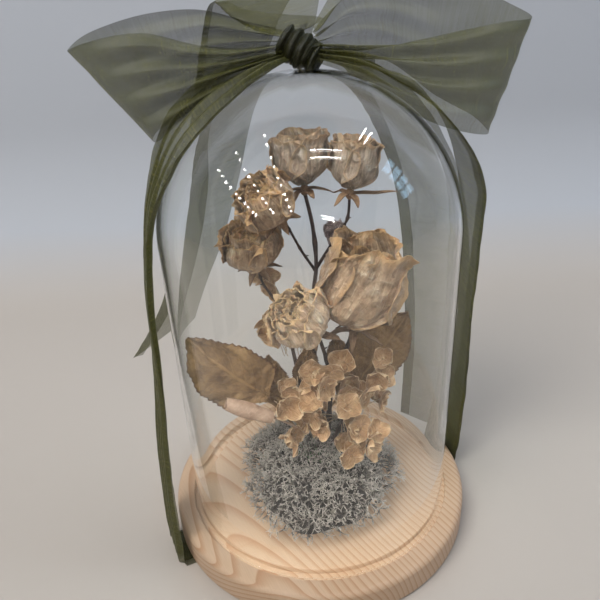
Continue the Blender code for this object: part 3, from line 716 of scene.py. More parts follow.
# Stations of a band: centre x, y, z, direction of its width x, y, z, and its width.
RIBBON_BANDS = {
    "ribbon_loop_left": [
        (-6, -3, 263, 0.2, -0.3, -0.9, 7), (-24, -8, 260, 0.15, -0.1, -0.95, 11),
        (-42, -11, 257, 0.15, 0, -0.98, 21), (-62, -12, 254, 0.2, 0, -0.97, 39),
        (-80, -8, 249, 0.5, 0, -0.84, 49), (-86.5, 0, 247.5, 0.6, 0.05, -0.78, 50),
        (-81, 9, 252, 0.5, 0.1, -0.84, 50), (-62, 14, 257.5, 0.2, 0.1, -0.97, 46),
        (-43, 14, 263.5, 0.1, 0.1, -0.98, 34), (-25, 11, 266, 0, 0.2, -0.98, 18),
        (-6, 4, 266, 0, 0.3, -0.95, 8)],
    "ribbon_loop_right": [
        (6, -3, 262, 0, -0.5, -0.85, 8), (22, -9.5, 259, 0, -0.75, -0.65, 15),
        (38, -13, 254.5, 0, -0.65, -0.76, 27), (58, -14, 250, -0.1, -0.35, -0.93, 37),
        (80, -10, 248, -0.2, -0.1, -0.98, 46), (92, -1, 247.5, -0.27, 0, -0.96, 50),
        (86, 10, 253, -0.2, 0.1, -0.98, 50), (66, 15, 263, -0.1, 0.1, -1, 50),
        (42, 15, 272.5, 0, 0.1, -1, 38), (22, 11, 273.5, 0.1, 0.2, -0.97, 31),
        (6, 4, 267, 0.1, 0.3, -0.95, 9)],
    "ribbon_run_left": [
        (-6, -2, 260, 0.1, -1, -0.1, 8), (-27, -10, 253, 0.1, -1, -0.4, 22),
        (-46, -14, 241.5, 0.1, -0.9, -0.4, 36), (-62, -17.5, 222.5, 0.2, -0.9, -0.25, 42),
        (-72.5, -18, 196, 0.2, -0.95, -0.1, 42), (-78, -20, 160, 0.25, -1, 0, 40),
        (-80, -25, 110, 0.3, -1, 0, 36), (-83, -32, 60, 0.38, -1, 0, 32),
        (-83.3, -37, 22, 0.42, -1, 0, 29), (-82.8, -38.3, 1.2, 0.42, -1, 0, 27)],
    "ribbon_run_right": [
        (6, 0, 259, 0.2, 1, 0, 8), (30, 4, 254, 0.1, 1, 0, 16),
        (54, 10, 243, 0, 1, 0.1, 30), (73, 16, 223, -0.1, 1, 0.1, 38),
        (85, 20, 196, -0.1, 1, 0, 40), (88.5, 22, 160, 0, 1, 0, 38),
        (90, 24, 110, 0.03, 1, 0, 34), (90.5, 27, 60, -0.05, 1, 0, 31),
        (89, 30, 22, -0.2, 1, 0, 29), (86.8, 32.5, 1.2, -0.38, 1, 0, 27)],
    "ribbon_tail_left": [
        (-2, 5, 265, 1, 0, 0, 10), (-5, 8, 272, 1, 0, 0.25, 24),
        (-11, 14, 280, 1, 0, 0.2, 40), (-17, 25, 284.5, 1, 0.1, 0.1, 46),
        (-25, 40, 278, 0.95, 0.15, 0.25, 46),
        (-36, 56, 253, 0.9, 0.2, 0.35, 44), (-48, 67, 219, 0.9, 0.15, 0.35, 40),
        (-57, 72, 184, 0.92, 0, 0.3, 36), (-70, 73, 144, 0.9, -0.1, 0.35, 35),
        (-86, 73, 108, 0.85, 0, 0.5, 36), (-104, 72, 76, 0.88, 0, 0.45, 40)],
    "ribbon_tail_right": [
        (3, 6, 260, 1, -0.3, 0, 8), (19, 25, 257, 0.8, -0.6, 0, 20),
        (38, 44, 244, 0.75, -0.6, -0.1, 34), (57, 57, 218, 0.75, -0.6, 0, 40),
        (72, 62, 184, 0.8, -0.55, 0, 42), (80, 62, 140, 0.85, -0.5, 0, 42),
        (84, 63, 90, 0.85, -0.5, 0, 42), (86, 64, 45, 0.85, -0.5, 0, 42),
        (87, 65, 8, 0.85, -0.5, 0, 42)],
}
RIBBON_ROWS = 110
RIBBON_COLUMNS = 41
PLEATS = 4
FOLD_GAP = 0.9
# Band widths in mm between which pleats give way to a turned-back edge.
TURN_BACK = (14.0, 24.0)
TAIL_SLANT = -16.0
SLANT_ROWS = 14
# name: whether the spare width is turned back under one edge instead of pleated,
# ripple and highest pleat in mm, and whether the pleats all stand off the glass
RIBBON_STYLE = {
    "ribbon_loop_left": (False, 0.9, 3.2, False), "ribbon_loop_right": (False, 0.9, 3.2, False),
    "ribbon_run_left": (False, 0.6, 1.7, True), "ribbon_run_right": (True, 0.7, 1.0, True),
    "ribbon_tail_left": (True, 1.0, 3.2, False), "ribbon_tail_right": (True, 0.8, 3.2, False),
}


def pleated(share, width, phase, highest, one_sided):
    """Offset and lift of a point at share of the cloth's width when it is gathered."""
    spare = max((RIBBON_WIDTH / width) ** 2 - 1.0, 0.0)
    lift = min(width / (math.tau * PLEATS) * math.sqrt(2 * spare), highest)
    lift *= min(1.0, width / 14.0)
    wave = math.sin(math.tau * PLEATS * share + phase)
    return (share - 0.5) * width, lift * (wave + one_sided)


def folded(share, width):
    """Offset and lift when the cloth's spare width is turned back under one edge."""
    along = share * RIBBON_WIDTH
    over = max(RIBBON_WIDTH - width, 0.0)
    if along >= over:
        return along - over - width / 2, 0.0
    turn = smooth(0.0, 2.5, over - along)
    return over - along - width / 2, -FOLD_GAP * turn


def band_rows(name):
    """The surface of a ribbon band, pleated where it is gathered, and its length."""
    turned_back, ripple, highest, one_sided = RIBBON_STYLE[name]
    stations = spline(RIBBON_BANDS[name], RIBBON_ROWS)
    seed = 3.7 * len(name) + ripple
    rows = Rows()
    length = 0.0
    for index, station in enumerate(stations):
        centre = Vector(station[:3])
        before = Vector(stations[max(index - 1, 0)][:3])
        after = Vector(stations[min(index + 1, RIBBON_ROWS - 1)][:3])
        if index:
            length += (centre - before).length
        across = Vector(station[3:6]).normalized()
        out = (after - before).cross(across).normalized()
        width = max(station[6], 6.0)
        mix = turned_back * smooth(*TURN_BACK, width)
        rows.start()
        for column in range(RIBBON_COLUMNS):
            share = column / (RIBBON_COLUMNS - 1)
            one = pleated(share, width, seed + length * 0.02, highest, one_sided)
            two = folded(share, width)
            offset = one[0] + (two[0] - one[0]) * mix
            lift = one[1] + (two[1] - one[1]) * mix
            lift += ripple * wobble(length / 26.0, share * 2.2, seed)
            hem = abs(share - 0.5) * 2
            lift += 1.3 * ripple * hem**3 * wobble(length / 11.0, 9.0 * (share > 0.5), seed)
            rows.add(centre + across * offset + out * lift,
                     ((share - 0.5) * RIBBON_WIDTH * MM, length * MM))
    return rows, length


def cut_slanted(points):
    """Moves the end rows of a tail so that its cut runs at a slant."""
    for step in range(SLANT_ROWS):
        i = len(points) - 1 - step
        weight = (1.0 - step / SLANT_ROWS) ** 1.5
        for j, point in enumerate(points[i]):
            share = j / (len(points[i]) - 1)
            along = (point - points[i - SLANT_ROWS // 2][j]).normalized()
            points[i][j] = point + along * (TAIL_SLANT * (share - 0.5) * weight)


def add_ribbon(material):
    """Knot, two loops, two side runs, two tails and the stretch below the base."""
    # Painted shade: the knot's cloth is a much darker copy, for the shadow between its gathered
    # layers; the runs' cloth is a thicker, slightly darker copy with a little painted shade.
    knot = add_knot(organza_material("shaded_gathered_organza", 0.2, 0.6))
    stretched = organza_material("stretched_organza", 0.85, 0.60)
    for name in RIBBON_BANDS:
        rows, length = band_rows(name)
        if name == "ribbon_tail_left":
            cut_slanted(rows.points)
        band = Shape()
        band.grid(rows)
        weave = stretched if "run" in name else material
        piece = band.build(f"{name}_organza", weave, "cover", [name], sharp=180)
    add_underpass(material)


KNOT_LEAN = 34.0
# Width of the cloth that shows on a strap; just short of the hems.
KNOT_CLOTH = 46.0
CLOTH_THICKNESS = 0.3
# Straps of the knot: shift along the bow, size, width in mm, first angle in turns.
KNOT_STRAPS = [(-2.5, 1.0, 15.0, 0.0), (3.0, 0.90, 12.0, 0.35), (-1.0, 1.10, 9.0, 0.6)]


def add_knot(material):
    """Turns of gathered ribbon wound aslant over the roots of the loops."""
    low, high = box_mm("ribbon_knot")
    middle = (low + high) / 2
    half = (high - low) / 2
    lean = Matrix.Rotation(math.radians(KNOT_LEAN), 3, "Y")
    knot = Shape()
    for index, (shift, grow, width, start) in enumerate(KNOT_STRAPS):
        rows = Rows()
        steps = 64
        for step in range(steps + 1):
            angle = math.tau * (start + step / steps)
            rows.start()
            for column in range(RIBBON_COLUMNS):
                share = column / (RIBBON_COLUMNS - 1)
                sway = 0.6 * math.sin(angle + index)
                pleat = 0.85 * math.sin(math.tau * (4 - index) * share + sway)
                pleat += 0.5 * wobble(step / steps * 5.0, share * 4.0, 2.0 + index)
                bulge = 0.94 + 0.10 * math.cos(math.pi * (share - 0.5))
                radial = Vector((0.0, math.sin(angle) * half.y * 0.88,
                                 math.cos(angle) * half.z * 0.95)) * grow * bulge
                along = Vector(((share - 0.5) * width + shift + 1.5 * math.sin(angle), 0.0, 0.0))
                rows.add(middle + lean @ (radial + radial.normalized() * pleat + along),
                         ((share - 0.5) * KNOT_CLOTH * MM, step * MM))
        knot.thick_grid(rows, CLOTH_THICKNESS)
    knot.ball(middle, (half.x * 0.95, half.y * 0.75, half.z * 0.75), 24, 16, 0.25, 5.0)
    return knot.build("ribbon_knot_organza", material, "cover", ["ribbon_knot"])


# Folded width, height above the table, and how far the base presses the fold flat.
UNDERPASS_WIDTH = 27.0
UNDERPASS_HEIGHT = 0.30
UNDERPASS_PRESS = 0.22


def add_underpass(material):
    """The flat folded stretch that the base stands on."""
    left = Vector(RIBBON_BANDS["ribbon_run_left"][-1][:2])
    right = Vector(RIBBON_BANDS["ribbon_run_right"][-1][:2])
    along = (right - left).normalized()
    side = Vector((along.y, -along.x))
    length = (right - left).length
    rows = Rows()
    for step in range(41):
        share = step / 40
        spot = left.lerp(right, share)
        rows.start()
        for column in range(33):
            part = column / 32
            offset, lift = folded(part, UNDERPASS_WIDTH)
            point = spot + side * offset
            rows.add(Vector((point.x, point.y, UNDERPASS_HEIGHT + UNDERPASS_PRESS * lift)),
                     ((part - 0.5) * RIBBON_WIDTH * MM, share * length * MM))
    band = Shape()
    band.grid(rows)
    piece = band.build("ribbon_underpass_organza", material, "base",
                       ["ribbon_underpass"], sharp=180)


# ---------------------------------------------------------------- roses

# Rings of petals from the heart out: petals, share of the radius, share of the height,
# half width in degrees, lip that curls outward (mm), ruffle (mm).
OPEN_RINGS = [(4, 0.20, 0.84, 80, 0.0, 0.7), (4, 0.38, 0.90, 76, 0.1, 0.9),
              (4, 0.58, 0.96, 74, 0.3, 1.1), (4, 0.80, 1.0, 72, 1.2, 1.6),
              (4, 0.98, 0.95, 62, 3.2, 2.4)]
BUD_RINGS = [(3, 0.30, 0.84, 100, 0.0, 0.8), (4, 0.52, 0.93, 75, 0.3, 1.2),
             (3, 0.76, 1.0, 80, 0.6, 1.4), (4, 0.96, 0.97, 62, 1.8, 1.8)]
LARGE_RINGS = [(3, 0.40, 0.58, 95, 0.0, 1.6), (3, 0.74, 0.78, 84, 0.6, 2.2),
               (3, 0.92, 0.93, 78, 1.6, 2.4), (3, 1.0, 1.0, 74, 3.8, 2.8)]
# foot, lean, radius and height as in the model; rings, height share of the widest place,
# width share of the mouth, sepal lengths, turn.
ROSES = {
    "left": ((-28.0, 5.0, 157.0), (-0.12, -0.25, 1.0), 14.4, 24.0, OPEN_RINGS, 0.46, 0.80,
             (12.0, 9.0, 11.0, 8.0, 10.0), 0.3),
    "upper_left": ((-13.0, -7.0, 188.5), (-0.58, -0.48, 0.85), 13.4, 22.0, OPEN_RINGS, 0.42,
                   0.74, (8.0, 7.0, 7.5, 7.0, 8.0), 0.9),
    "top": ((-1.5, 5.0, 198.5), (-0.08, 0.02, 1.0), 13.0, 26.0, BUD_RINGS, 0.5, 0.92,
            (13.0, 8.0, 12.0, 8.0, 9.0), 0.1),
    "cup": ((20.5, 0.0, 197.0), (0.12, -0.05, 1.0), 10.6, 25.0, BUD_RINGS, 0.42, 0.97,
            (22.0, 8.0, 9.0, 8.0, 10.0), 0.0),
    "large": ((20.5, -12.0, 127.5), (0.16, -0.06, 1.0), 20.0, 50.0, LARGE_RINGS, 0.36, 0.66,
              (17.0, 12.0, 14.0, 11.0, 16.0), 0.9),
    "front": ((1.0, -24.0, 133.5), (-0.52, -0.34, 0.75), 14.6, 24.0, OPEN_RINGS, 0.42, 0.72,
              (9.0, 7.0, 8.0, 10.0, 9.0), 1.9),
}
# Turn of a petal's tip about the head, in radians: of the named heads, and of the rest.
PETAL_TWIST = {"large": 0.95}
HEAD_TWIST = 0.35
# Depth of the broad creases of a petal as a share of the head's radius.
CREASE = {"large": 0.15, "top": 0.05, "cup": 0.05}
OPEN_CREASE = 0.075
# Petals paler or greyer than the tan of the other heads.
PETAL_COLOUR = {"top": "ashen", "cup": "ashen", "front": "cream"}
PETAL_THICKNESS = 0.28
# Height of the petals' feet above the calyx, and the length from which a sepal rises.
HEAD_LIFT = 2.6
LONG_SEPAL = 18


def ridge(x, y, seed):
    """Noise with sharp crests, from -1 to 1."""
    return 1.0 - 4.0 * abs(wobble(x, y, seed))


def petal_rows(radius, height, ring, belly, mouth, turn, seed, crease, twist):
    """One petal of a ring, in the head's own frame with its foot at the origin."""
    _, reach, tall, half_angle, lip, ruffle = ring
    along, around = 26, 27
    grain = 14.0 / radius
    rows = Rows()
    tall *= 1.0 + 0.10 * wobble(seed * 3.1, 0.0, 5.0)
    for i in range(along):
        v = i / (along - 1)
        spread = smooth(-0.1, 0.5, v) * (1.0 - 0.20 * v**6)
        if v < belly:
            body = math.sin(math.pi / 2 * (0.06 + 0.94 * v / belly)) ** 0.8
        else:
            body = 1.0 - (1.0 - mouth) * ((v - belly) / (1.0 - belly)) ** 2
        rolled = max(0.0, (v - 0.84) / 0.16)
        rows.start()
        for j in range(around):
            u = 2 * j / (around - 1) - 1
            angle = turn + math.radians(half_angle) * u * spread
            angle += twist * v + 0.12 * v * wobble(v * 2.5, u * 2.0, seed)
            size = radius * reach * (body + 0.035 * u)
            size += lip * rolled**1.5 * (0.7 + 0.6 * wobble(u * 2.0, seed, 3.0))
            size += 1.2 * lip * v**0.5 * (max(0.0, abs(u) - 0.70) / 0.30) ** 1.5
            size += 0.10 * radius * wobble(u * 1.3 - seed, v * 1.9, seed)
            size += crease * radius * v * ridge(u * 1.5 + v * 1.4 + seed, v * 1.1, seed)
            size += 0.036 * radius * ridge(u * 3.4 / grain + v, v * 3.0 / grain + seed, seed + 9)
            size += 0.018 * radius * ridge(u * 7.0 / grain, v * 6.0 / grain, seed + 4.0)
            size += ruffle * v**5 * wobble(u * 2.8 + seed, v * 2.0, 8.0 - seed)
            size = max(size, 0.25)
            z = height * tall * v * (1.0 - 0.10 * abs(u) ** 3 * v)
            z -= 0.35 * lip * rolled**2
            z += 0.09 * height * v**4 * wobble(u * 2.0, seed, 2.0)
            z += 0.22 * ruffle * v**8 * wobble(u * 9.0, seed, 6.0)
            rows.add(Vector((size * math.cos(angle), size * math.sin(angle), z)),
                     (j / (around - 1), v))
    return rows


def sepal_rows(length, angle, droop, seed):
    """A narrow sepal that arches out and curls down, or up when droop is negative."""
    rows = Rows()
    steps = 12
    for i in range(steps):
        v = i / (steps - 1)
        width = 1.9 * math.sin(math.pi * min(0.25 + 0.75 * v, 1.0)) ** 0.8 + 0.15
        reach = 1.2 + length * v
        fall = -droop * length * v**1.8 + 0.8 * wobble(v * 3, seed, 1.0)
        sway = 0.12 * length * v * wobble(v * 1.5, seed, 6.0)
        rows.start()
        for j in range(5):
            u = j / 4 - 0.5
            side = u * 2 * width + sway
            point = Vector((reach, side, fall + 1.6 * u * u * width))
            rows.add(Matrix.Rotation(angle, 3, "Z") @ point, (j / 4, v))
    return rows


def head_frame(foot, lean):
    """Moves a shape made upright at the origin to its foot and leans it."""
    tilt = Vector((0, 0, 1)).rotation_difference(Vector(lean)).to_matrix().to_4x4()
    return Matrix.Translation(foot) @ tilt


def add_roses(petals, sepal):
    """Every head with its petals ring by ring, and its calyx with five sepals."""
    for index, (name, values) in enumerate(ROSES.items()):
        foot, lean, radius, height, rings, belly, mouth, lengths, turn = values
        shift = Vector(lean).normalized() * HEAD_LIFT
        head = Shape()
        for level, ring in enumerate(rings):
            for number in range(ring[0]):
                start = turn + math.tau * number / ring[0] + 1.7 * level
                seed = 2.3 * index + 1.1 * level + 0.37 * number
                rows = petal_rows(radius, height, ring, belly, mouth, start, seed,
                                  CREASE.get(name, OPEN_CREASE),
                                  PETAL_TWIST.get(name, HEAD_TWIST))
                head.thick_grid(rows, PETAL_THICKNESS)
        head.build(f"rose_{name}_bloom", petals[PETAL_COLOUR.get(name, "tan")], "base",
                   [f"rose_{name}_petals"], head_frame(Vector(foot) + shift, lean), 60)
        calyx = Shape()
        calyx.ball((0, 0, -0.2), (2.3, 2.3, 2.9), 14, 10, 0.12, float(index))
        for number, length in enumerate(lengths):
            angle = turn + math.tau * number / len(lengths)
            droop = -0.12 if length > LONG_SEPAL else 0.30 + 0.35 * (number % 2)
            rows = sepal_rows(length, angle, droop, index + 0.7 * number)
            calyx.thick_grid(rows, BLADE_THICKNESS)
        calyx.build(f"rose_{name}_sepals", sepal, "base",
                    [f"rose_{name}_calyx"], head_frame(foot, lean))


# ---------------------------------------------------------------- stems and leaves

# Radius and route of each stem; a route starts in the foam.
STEM_FOOT = 29.0
STEMS = {
    "rose_spray_stem": (1.3, [(0, 4, STEM_FOOT), (0, 4, 46), (0, 4, 80), (0, 4, 110),
                              (1, 4, 140), (3, 4, 158), (2, 5, 178), (-1.3, 5, 196)]),
    "rose_large_stem": (1.4, [(7, 0, STEM_FOOT), (7, 0, 46), (8, -2, 72), (12, -7, 98),
                              (17, -11, 115), (20, -11.9, 125)]),
    "rose_front_stem": (1.2, [(1, -5, STEM_FOOT), (1, -5, 46), (4, -8, 76), (7, -13, 98),
                              (6, -18, 113), (3, -21.6, 127), (1.8, -23, 132)]),
    "hydrangea_stalk_left": (1.3, [(-6, 1, STEM_FOOT), (-6, 1, 46), (-7, -4, 64),
                                   (-8, -10, 82), (-10, -7, 102), (-14, 2, 122)]),
    "hydrangea_stalk_right": (1.2, [(7, -8, STEM_FOOT), (7, -8, 46), (11, -13, 60),
                                    (16, -14, 76), (23, -9, 90)]),
    "rose_left_branch": (0.8, [(-0.5, 4, 112), (-10, 4, 124), (-19, 4.5, 137),
                               (-25.4, 5.2, 147), (-27.6, 5.2, 155)]),
    "rose_upper_left_branch": (0.8, [(2.2, 3.8, 155), (-4, 0, 167), (-8, -4, 177),
                                     (-12, -6, 186.5)]),
    "rose_cup_branch": (0.9, [(3.2, 4.2, 156), (9, 3, 166), (15, 1.5, 176),
                              (19.3, 0.6, 184), (20.3, 0.1, 195)]),
}


def add_stems(material):
    """Round stems with a swelling at each node and a few broken thorns."""
    for index, (name, (radius, route)) in enumerate(STEMS.items()):
        stem = Shape()
        line = spline(route, 46)
        radii = []
        for step in range(len(line)):
            share = step / (len(line) - 1)
            knuckle = 0.35 * max(0.0, math.cos(share * math.tau * 2.5 + index)) ** 12
            radii.append(radius * (1.0 - 0.25 * share + knuckle
                                   + 0.08 * wobble(share * 14, index, 3.0)))
        stem.tube(line, radii, 12)
        for number in range(3):
            step = 12 + 11 * number
            point = Vector(line[step])
            angle = 2.4 * number + index
            out = Vector((math.cos(angle), math.sin(angle), 0.25))
            tip = point + out * (radius + 1.5)
            stem.tube([point, point.lerp(tip, 0.6), tip], [0.55, 0.35, 0.08], 6)
        stem.build(f"{name}_bark", material, "base", [name])


LEFT_FOOT = (-8.0, -6.0)
RIGHT_FOOT = (5.0, 8.5)
# Stations of a leaf as of a ribbon band; then the station where the petiole ends, the
# blade's hollow in mm, and its ripple in mm.
BLADES = {
    "leaf_left_large": ([
        (*LEFT_FOOT, STEM_FOOT + 1, 1, 0, 0, 1.3), (*LEFT_FOOT, 46, 1, 0, 0, 1.3),
        (-12, -9, 60, 0.9, 0, 0.3, 1.3), (-19, -15, 78, 0.8, 0, 0.5, 1.5),
        (-27, -19, 91, 0.72, 0, 0.69, 5.0), (-34, -21, 98, 0.72, 0, 0.69, 35.0),
        (-45, -23, 109, 0.72, -0.1, 0.69, 41.0), (-56, -22, 120, 0.72, 0, 0.69, 27.0),
        (-65, -19, 131, 0.72, 0, 0.69, 1.0)], 3, 2.5, 1.5),
    "leaf_right_large": ([
        (*RIGHT_FOOT, STEM_FOOT + 1, 1, 0, 0, 1.3), (*RIGHT_FOOT, 46, 1, 0, 0, 1.3),
        (8, 11, 58, 0.9, 0, -0.3, 1.3), (16, 12, 68, 0.8, 0, -0.5, 1.5),
        (25, 12, 78, 0.75, 0, -0.66, 6.0), (31, 13, 86, 0.75, 0, -0.66, 32.0),
        (40, 14, 99, 0.75, 0.1, -0.66, 37.0), (47, 13, 111, 0.75, 0, -0.66, 27.0),
        (54, 10, 124, 0.75, 0, -0.66, 1.0)], 3, -2.5, 1.1),
    "leaf_small": ([
        (18.8, 1.2, 183.6, 0.8, 0, -0.5, 1.0), (17.2, 3.2, 181.5, 0.8, 0, -0.5, 3.0),
        (15, 4.4, 178.5, 0.8, 0.1, -0.5, 11.0), (12.6, 5, 174.5, 0.8, 0.1, -0.5, 11.5),
        (10.2, 5, 168.5, 0.8, 0, -0.5, 0.8)], 1, 1.0, 0.5),
}
# Small leaves behind the florets: stations as in the blades, without a petiole.
INNER_BLADES = [
    [(-3, -4, 82, 0.9, 0.2, 0.3, 2), (-4, -8, 91, 0.9, 0.2, 0.3, 11),
     (-5, -10, 102, 0.9, 0.1, 0.2, 14), (-4, -11, 112, 0.9, 0, 0.2, 8),
     (-3, -11, 119, 0.9, 0, 0.2, 1)],
    [(13, -8, 82, 0.9, -0.3, -0.2, 2), (14, -6, 92, 0.9, -0.3, -0.2, 12),
     (14, -4, 103, 0.9, -0.3, 0, 15), (13, -3, 113, 0.9, -0.2, 0, 8),
     (12, -3, 119, 0.9, -0.2, 0, 1)],
    [(-14, -12, 80, 0.9, 0, 0.4, 2), (-18, -14, 88, 0.9, 0, 0.4, 12),
     (-22, -14, 98, 0.9, 0.2, 0.3, 14), (-24, -13, 108, 0.9, 0.2, 0.3, 7),
     (-25, -12, 114, 0.9, 0.2, 0.3, 1)],
]
LEAF_ROWS = 170
LEAF_COLUMNS = 25
TOOTH_ROWS = 4
TOOTH_HEIGHT = 2.6
BLADE_THICKNESS = 0.3
PETIOLE_RADIUS = 0.75


def add_leaves(brown, rosy, grey):
    """The named leaves, and a few crumpled ones that fill the heart of the bunch."""
    for index, (name, values) in enumerate(BLADES.items()):
        leaf = Shape()
        blade_surface(leaf, values, index)
        leaf.build(name + "_blade", grey if name == "leaf_small" else brown, "base",
                   [name])
    inner = Shape()
    for index, stations in enumerate(INNER_BLADES):
        blade_surface(inner, (stations, 0, 2.0, 1.4), 20 + index)
    inner.build("inner_leaves", brown, "base")
    add_rolled_leaf(rosy)


def blade_surface(leaf, values, index):
    """Adds one serrated, crinkled blade and its petiole to a shape."""
    stations, petiole, cup, ripple = values
    last = len(stations) - 1
    line = spline(stations, LEAF_ROWS)
    rows = Rows()
    for step, station in enumerate(line):
        share = step / (LEAF_ROWS - 1) * last
        if share < petiole:
            continue
        v = (share - petiole) / (last - petiole)
        centre = Vector(station[:3])
        across = Vector(station[3:6]).normalized()
        after = Vector(line[min(step + 1, LEAF_ROWS - 1)][:3])
        after -= Vector(line[max(step - 1, 0)][:3])
        out = after.cross(across).normalized()
        width = max(station[6], 0.6)
        if width > 6:
            width += TOOTH_HEIGHT * (step % TOOTH_ROWS) / TOOTH_ROWS
        rows.start()
        for column in range(LEAF_COLUMNS):
            u = column / (LEAF_COLUMNS - 1) - 0.5
            lift = cup * (1 - 4 * u * u) * min(1.0, width / 20)
            lift += ripple * wobble(v * 3.2, u * 2.6, 10.0 + index)
            lift += 1.8 * ripple * (2 * abs(u)) ** 3 * wobble(v * 7.0, 3.0 * (u > 0), index)
            lift += 0.8 * ridge(v * 6.0 - 3.0 * abs(u), u * 4.0, 12.0 + index)
            lift += 0.35 * ridge(v * 17.0, u * 9.0, 15.0 + index)
            rows.add(centre + across * (u * width) + out * lift,
                     (column / (LEAF_COLUMNS - 1), v))
    leaf.thick_grid(rows, BLADE_THICKNESS)
    if petiole > 1:
        stalk = [point[:3] for point in spline(stations[:petiole + 2], 30)]
        leaf.tube(stalk, [PETIOLE_RADIUS] * len(stalk), 8)


def add_rolled_leaf(material):
    """A small leaf dried into an open, tapering roll, with its stalk."""
    start = Vector((-24.0, -31.0, 88.0))
    end = Vector((-47.0, -32.0, 99.0))
    roll = (end - start).to_track_quat("X", "Z").to_matrix()
    rows = Rows()
    for step in range(28):
        v = step / 27
        radius = 2.4 + 2.2 * math.sin(math.pi * (0.15 + 0.7 * v))
        rows.start()
        for column in range(33):
            u = column / 32
            angle = math.radians(-70 + 380 * u)
            size = radius * (1.0 - 0.38 * u) + 0.5 * wobble(v * 5, u * 4, 20.0)
            ring = Vector((1.3 * wobble(u * 3, 1.0, 7.0) * (v > 0.5), size * math.cos(angle),
                           size * math.sin(angle)))
            rows.add(start.lerp(end, v) + roll @ ring, (u, v))
    leaf = Shape()
    leaf.thick_grid(rows, BLADE_THICKNESS)
    stalk = spline([(-8, -12, 62), (-13, -22, 74), tuple(start)], 14)
    leaf.tube(stalk, [0.6] * len(stalk), 8)
    leaf.build("leaf_rolled_blade", material, "base", ["leaf_rolled"])


# ---------------------------------------------------------------- hydrangea

BRACT_LENGTH = 8.0
BRACT_THICKNESS = 0.22
BRACT_ROWS = 11
FLORETS_A_NODE = 3
# Where threads leave the stalks: left, right, middle and high.
STALK_JOINTS = [(-10, -7, 100), (14, -13.5, 72), (-7, -5, 68), (-13, 0, 118)]
BARE_THREADS = 14


def bract_rows(angle, size, cup, seed):
    """One rounded bract, hollowed towards +Z, from the floret's centre outwards."""
    rows = Rows()
    last = BRACT_ROWS - 1
    for i in range(BRACT_ROWS):
        v = i / last
        width = 0.60 * size * math.sin(math.pi * (0.04 + 0.94 * v**0.9)) ** 0.5
        rows.start()
        for j in range(BRACT_ROWS):
            u = j / last * 2 - 1
            lift = cup * (v * v + 0.55 * u * u * v) + 0.4 * wobble(u * 2, v * 3, seed)
            lift += 0.12 * ridge(u * 3.0, v * 1.5, seed)
            point = Vector((size * v * (1 - 0.10 * u * u), u * width, lift))
            rows.add(Matrix.Rotation(angle, 3, "Z") @ point, (j / last, v))
    return rows


def add_floret(shape, chooser, place, size, seed):
    """Four bracts that overlap like roof tiles round a small dry eye."""
    turn = chooser.uniform(0, math.tau)
    for number in range(4):
        length = size * chooser.uniform(0.85, 1.1)
        angle = turn + math.tau * number / 4 + chooser.uniform(-0.2, 0.2)
        cup = chooser.uniform(0.5, 5.0)
        rows = bract_rows(angle, length, cup, seed + 0.3 * number)
        for row in rows.points:
            for index, point in enumerate(row):
                point.z += 0.45 * (number % 2)
                row[index] = place @ point
        shape.thick_grid(rows, BRACT_THICKNESS)
    shape.ball(place @ Vector((0, 0, 0.9)), (0.9, 0.9, 0.9), 10, 6, 0.2, seed)


def add_thread(shape, stops, radius, sides):
    """A hair-thin stalk through three points."""
    line = spline([tuple(stop) for stop in stops], 10)
    shape.tube(line, [radius] * len(line), sides)


def add_florets(material, thread_material):
    """Each floret of the model with two more behind it, their threads, and bare threads."""
    chooser = random.Random(7)
    nodes = sorted(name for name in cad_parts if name.startswith("hydrangea_floret"))
    threads = Shape()
    for index, name in enumerate(nodes):
        low, high = box_mm(name)
        centre = (low + high) / 2
        floret = Shape()
        joint = Vector(min(STALK_JOINTS, key=lambda spot: (Vector(spot) - centre).length))
        for number in range(FLORETS_A_NODE):
            look = Vector((centre.x * 0.02 + chooser.uniform(-1.0, 1.0), -1.0,
                           chooser.uniform(-0.5, 1.3)))
            spot = centre.copy()
            if number:
                spot += Vector((chooser.uniform(-7.0, 7.0), 2.0 + 2.2 * number,
                                chooser.uniform(-5.0, 8.0)))
            size = BRACT_LENGTH * (1.0 - 0.08 * number)
            add_floret(floret, chooser, head_frame(spot, look), size, index + 0.9 * number)
            middle = spot.lerp(joint, 0.5) + Vector((0, 2.5, -1.5))
            add_thread(threads, (spot, middle, joint), 0.28, 6)
        floret.build(f"{name}_bracts", material, "base", [name], sharp=60)
    for number in range(BARE_THREADS):
        start = Vector((-11 + chooser.uniform(-6, 4), 1 + chooser.uniform(-5, 5), 106))
        end = start + Vector((chooser.uniform(-10, 10), chooser.uniform(-5, 5),
                              chooser.uniform(12, 24)))
        bend = start.lerp(end, 0.5) + Vector((chooser.uniform(-3, 3), 0, 2))
        add_thread(threads, (start, bend, end), 0.2, 5)
    threads.build("hydrangea_pedicels", thread_material, "base")


# ---------------------------------------------------------------- moss and foam


def grow_sprig(shape, chooser, start, heading, length, radius, level):
    """A forked twig of reindeer moss; each fork is thinner than its parent."""
    bend = Vector([chooser.uniform(-0.5, 0.5) for _ in range(3)])
    end = start + (heading + bend * 0.45).normalized() * length
    route, radii = [start, end], [radius, radius * 0.62]
    if level < 2:
        middle = start + heading * length * 0.5 + bend * length * 0.15
        route, radii = [start, middle, end], [radius, radius * 0.85, radius * 0.7]
    first = len(shape.uvs)
    shape.tube(route, radii, 4 if level < 2 else 3)
    # The V of a twig's UVs rises with its level; the moss material paints shade at the roots from
    # it.
    base = 0.12 + 0.25 * level
    for index in range(first, len(shape.uvs)):
        shape.uvs[index] = (0.5, min(1.0, base + 0.25 * shape.uvs[index][1]))
    if level >= 3:
        return
    for _ in range(2 if level else 3):
        turn = Vector([chooser.uniform(-1, 1) for _ in range(3)])
        way = (heading + turn * 0.95).normalized()
        grow_sprig(shape, chooser, end, way, length * chooser.uniform(0.55, 0.85),
                   radius * 0.78, level + 1)


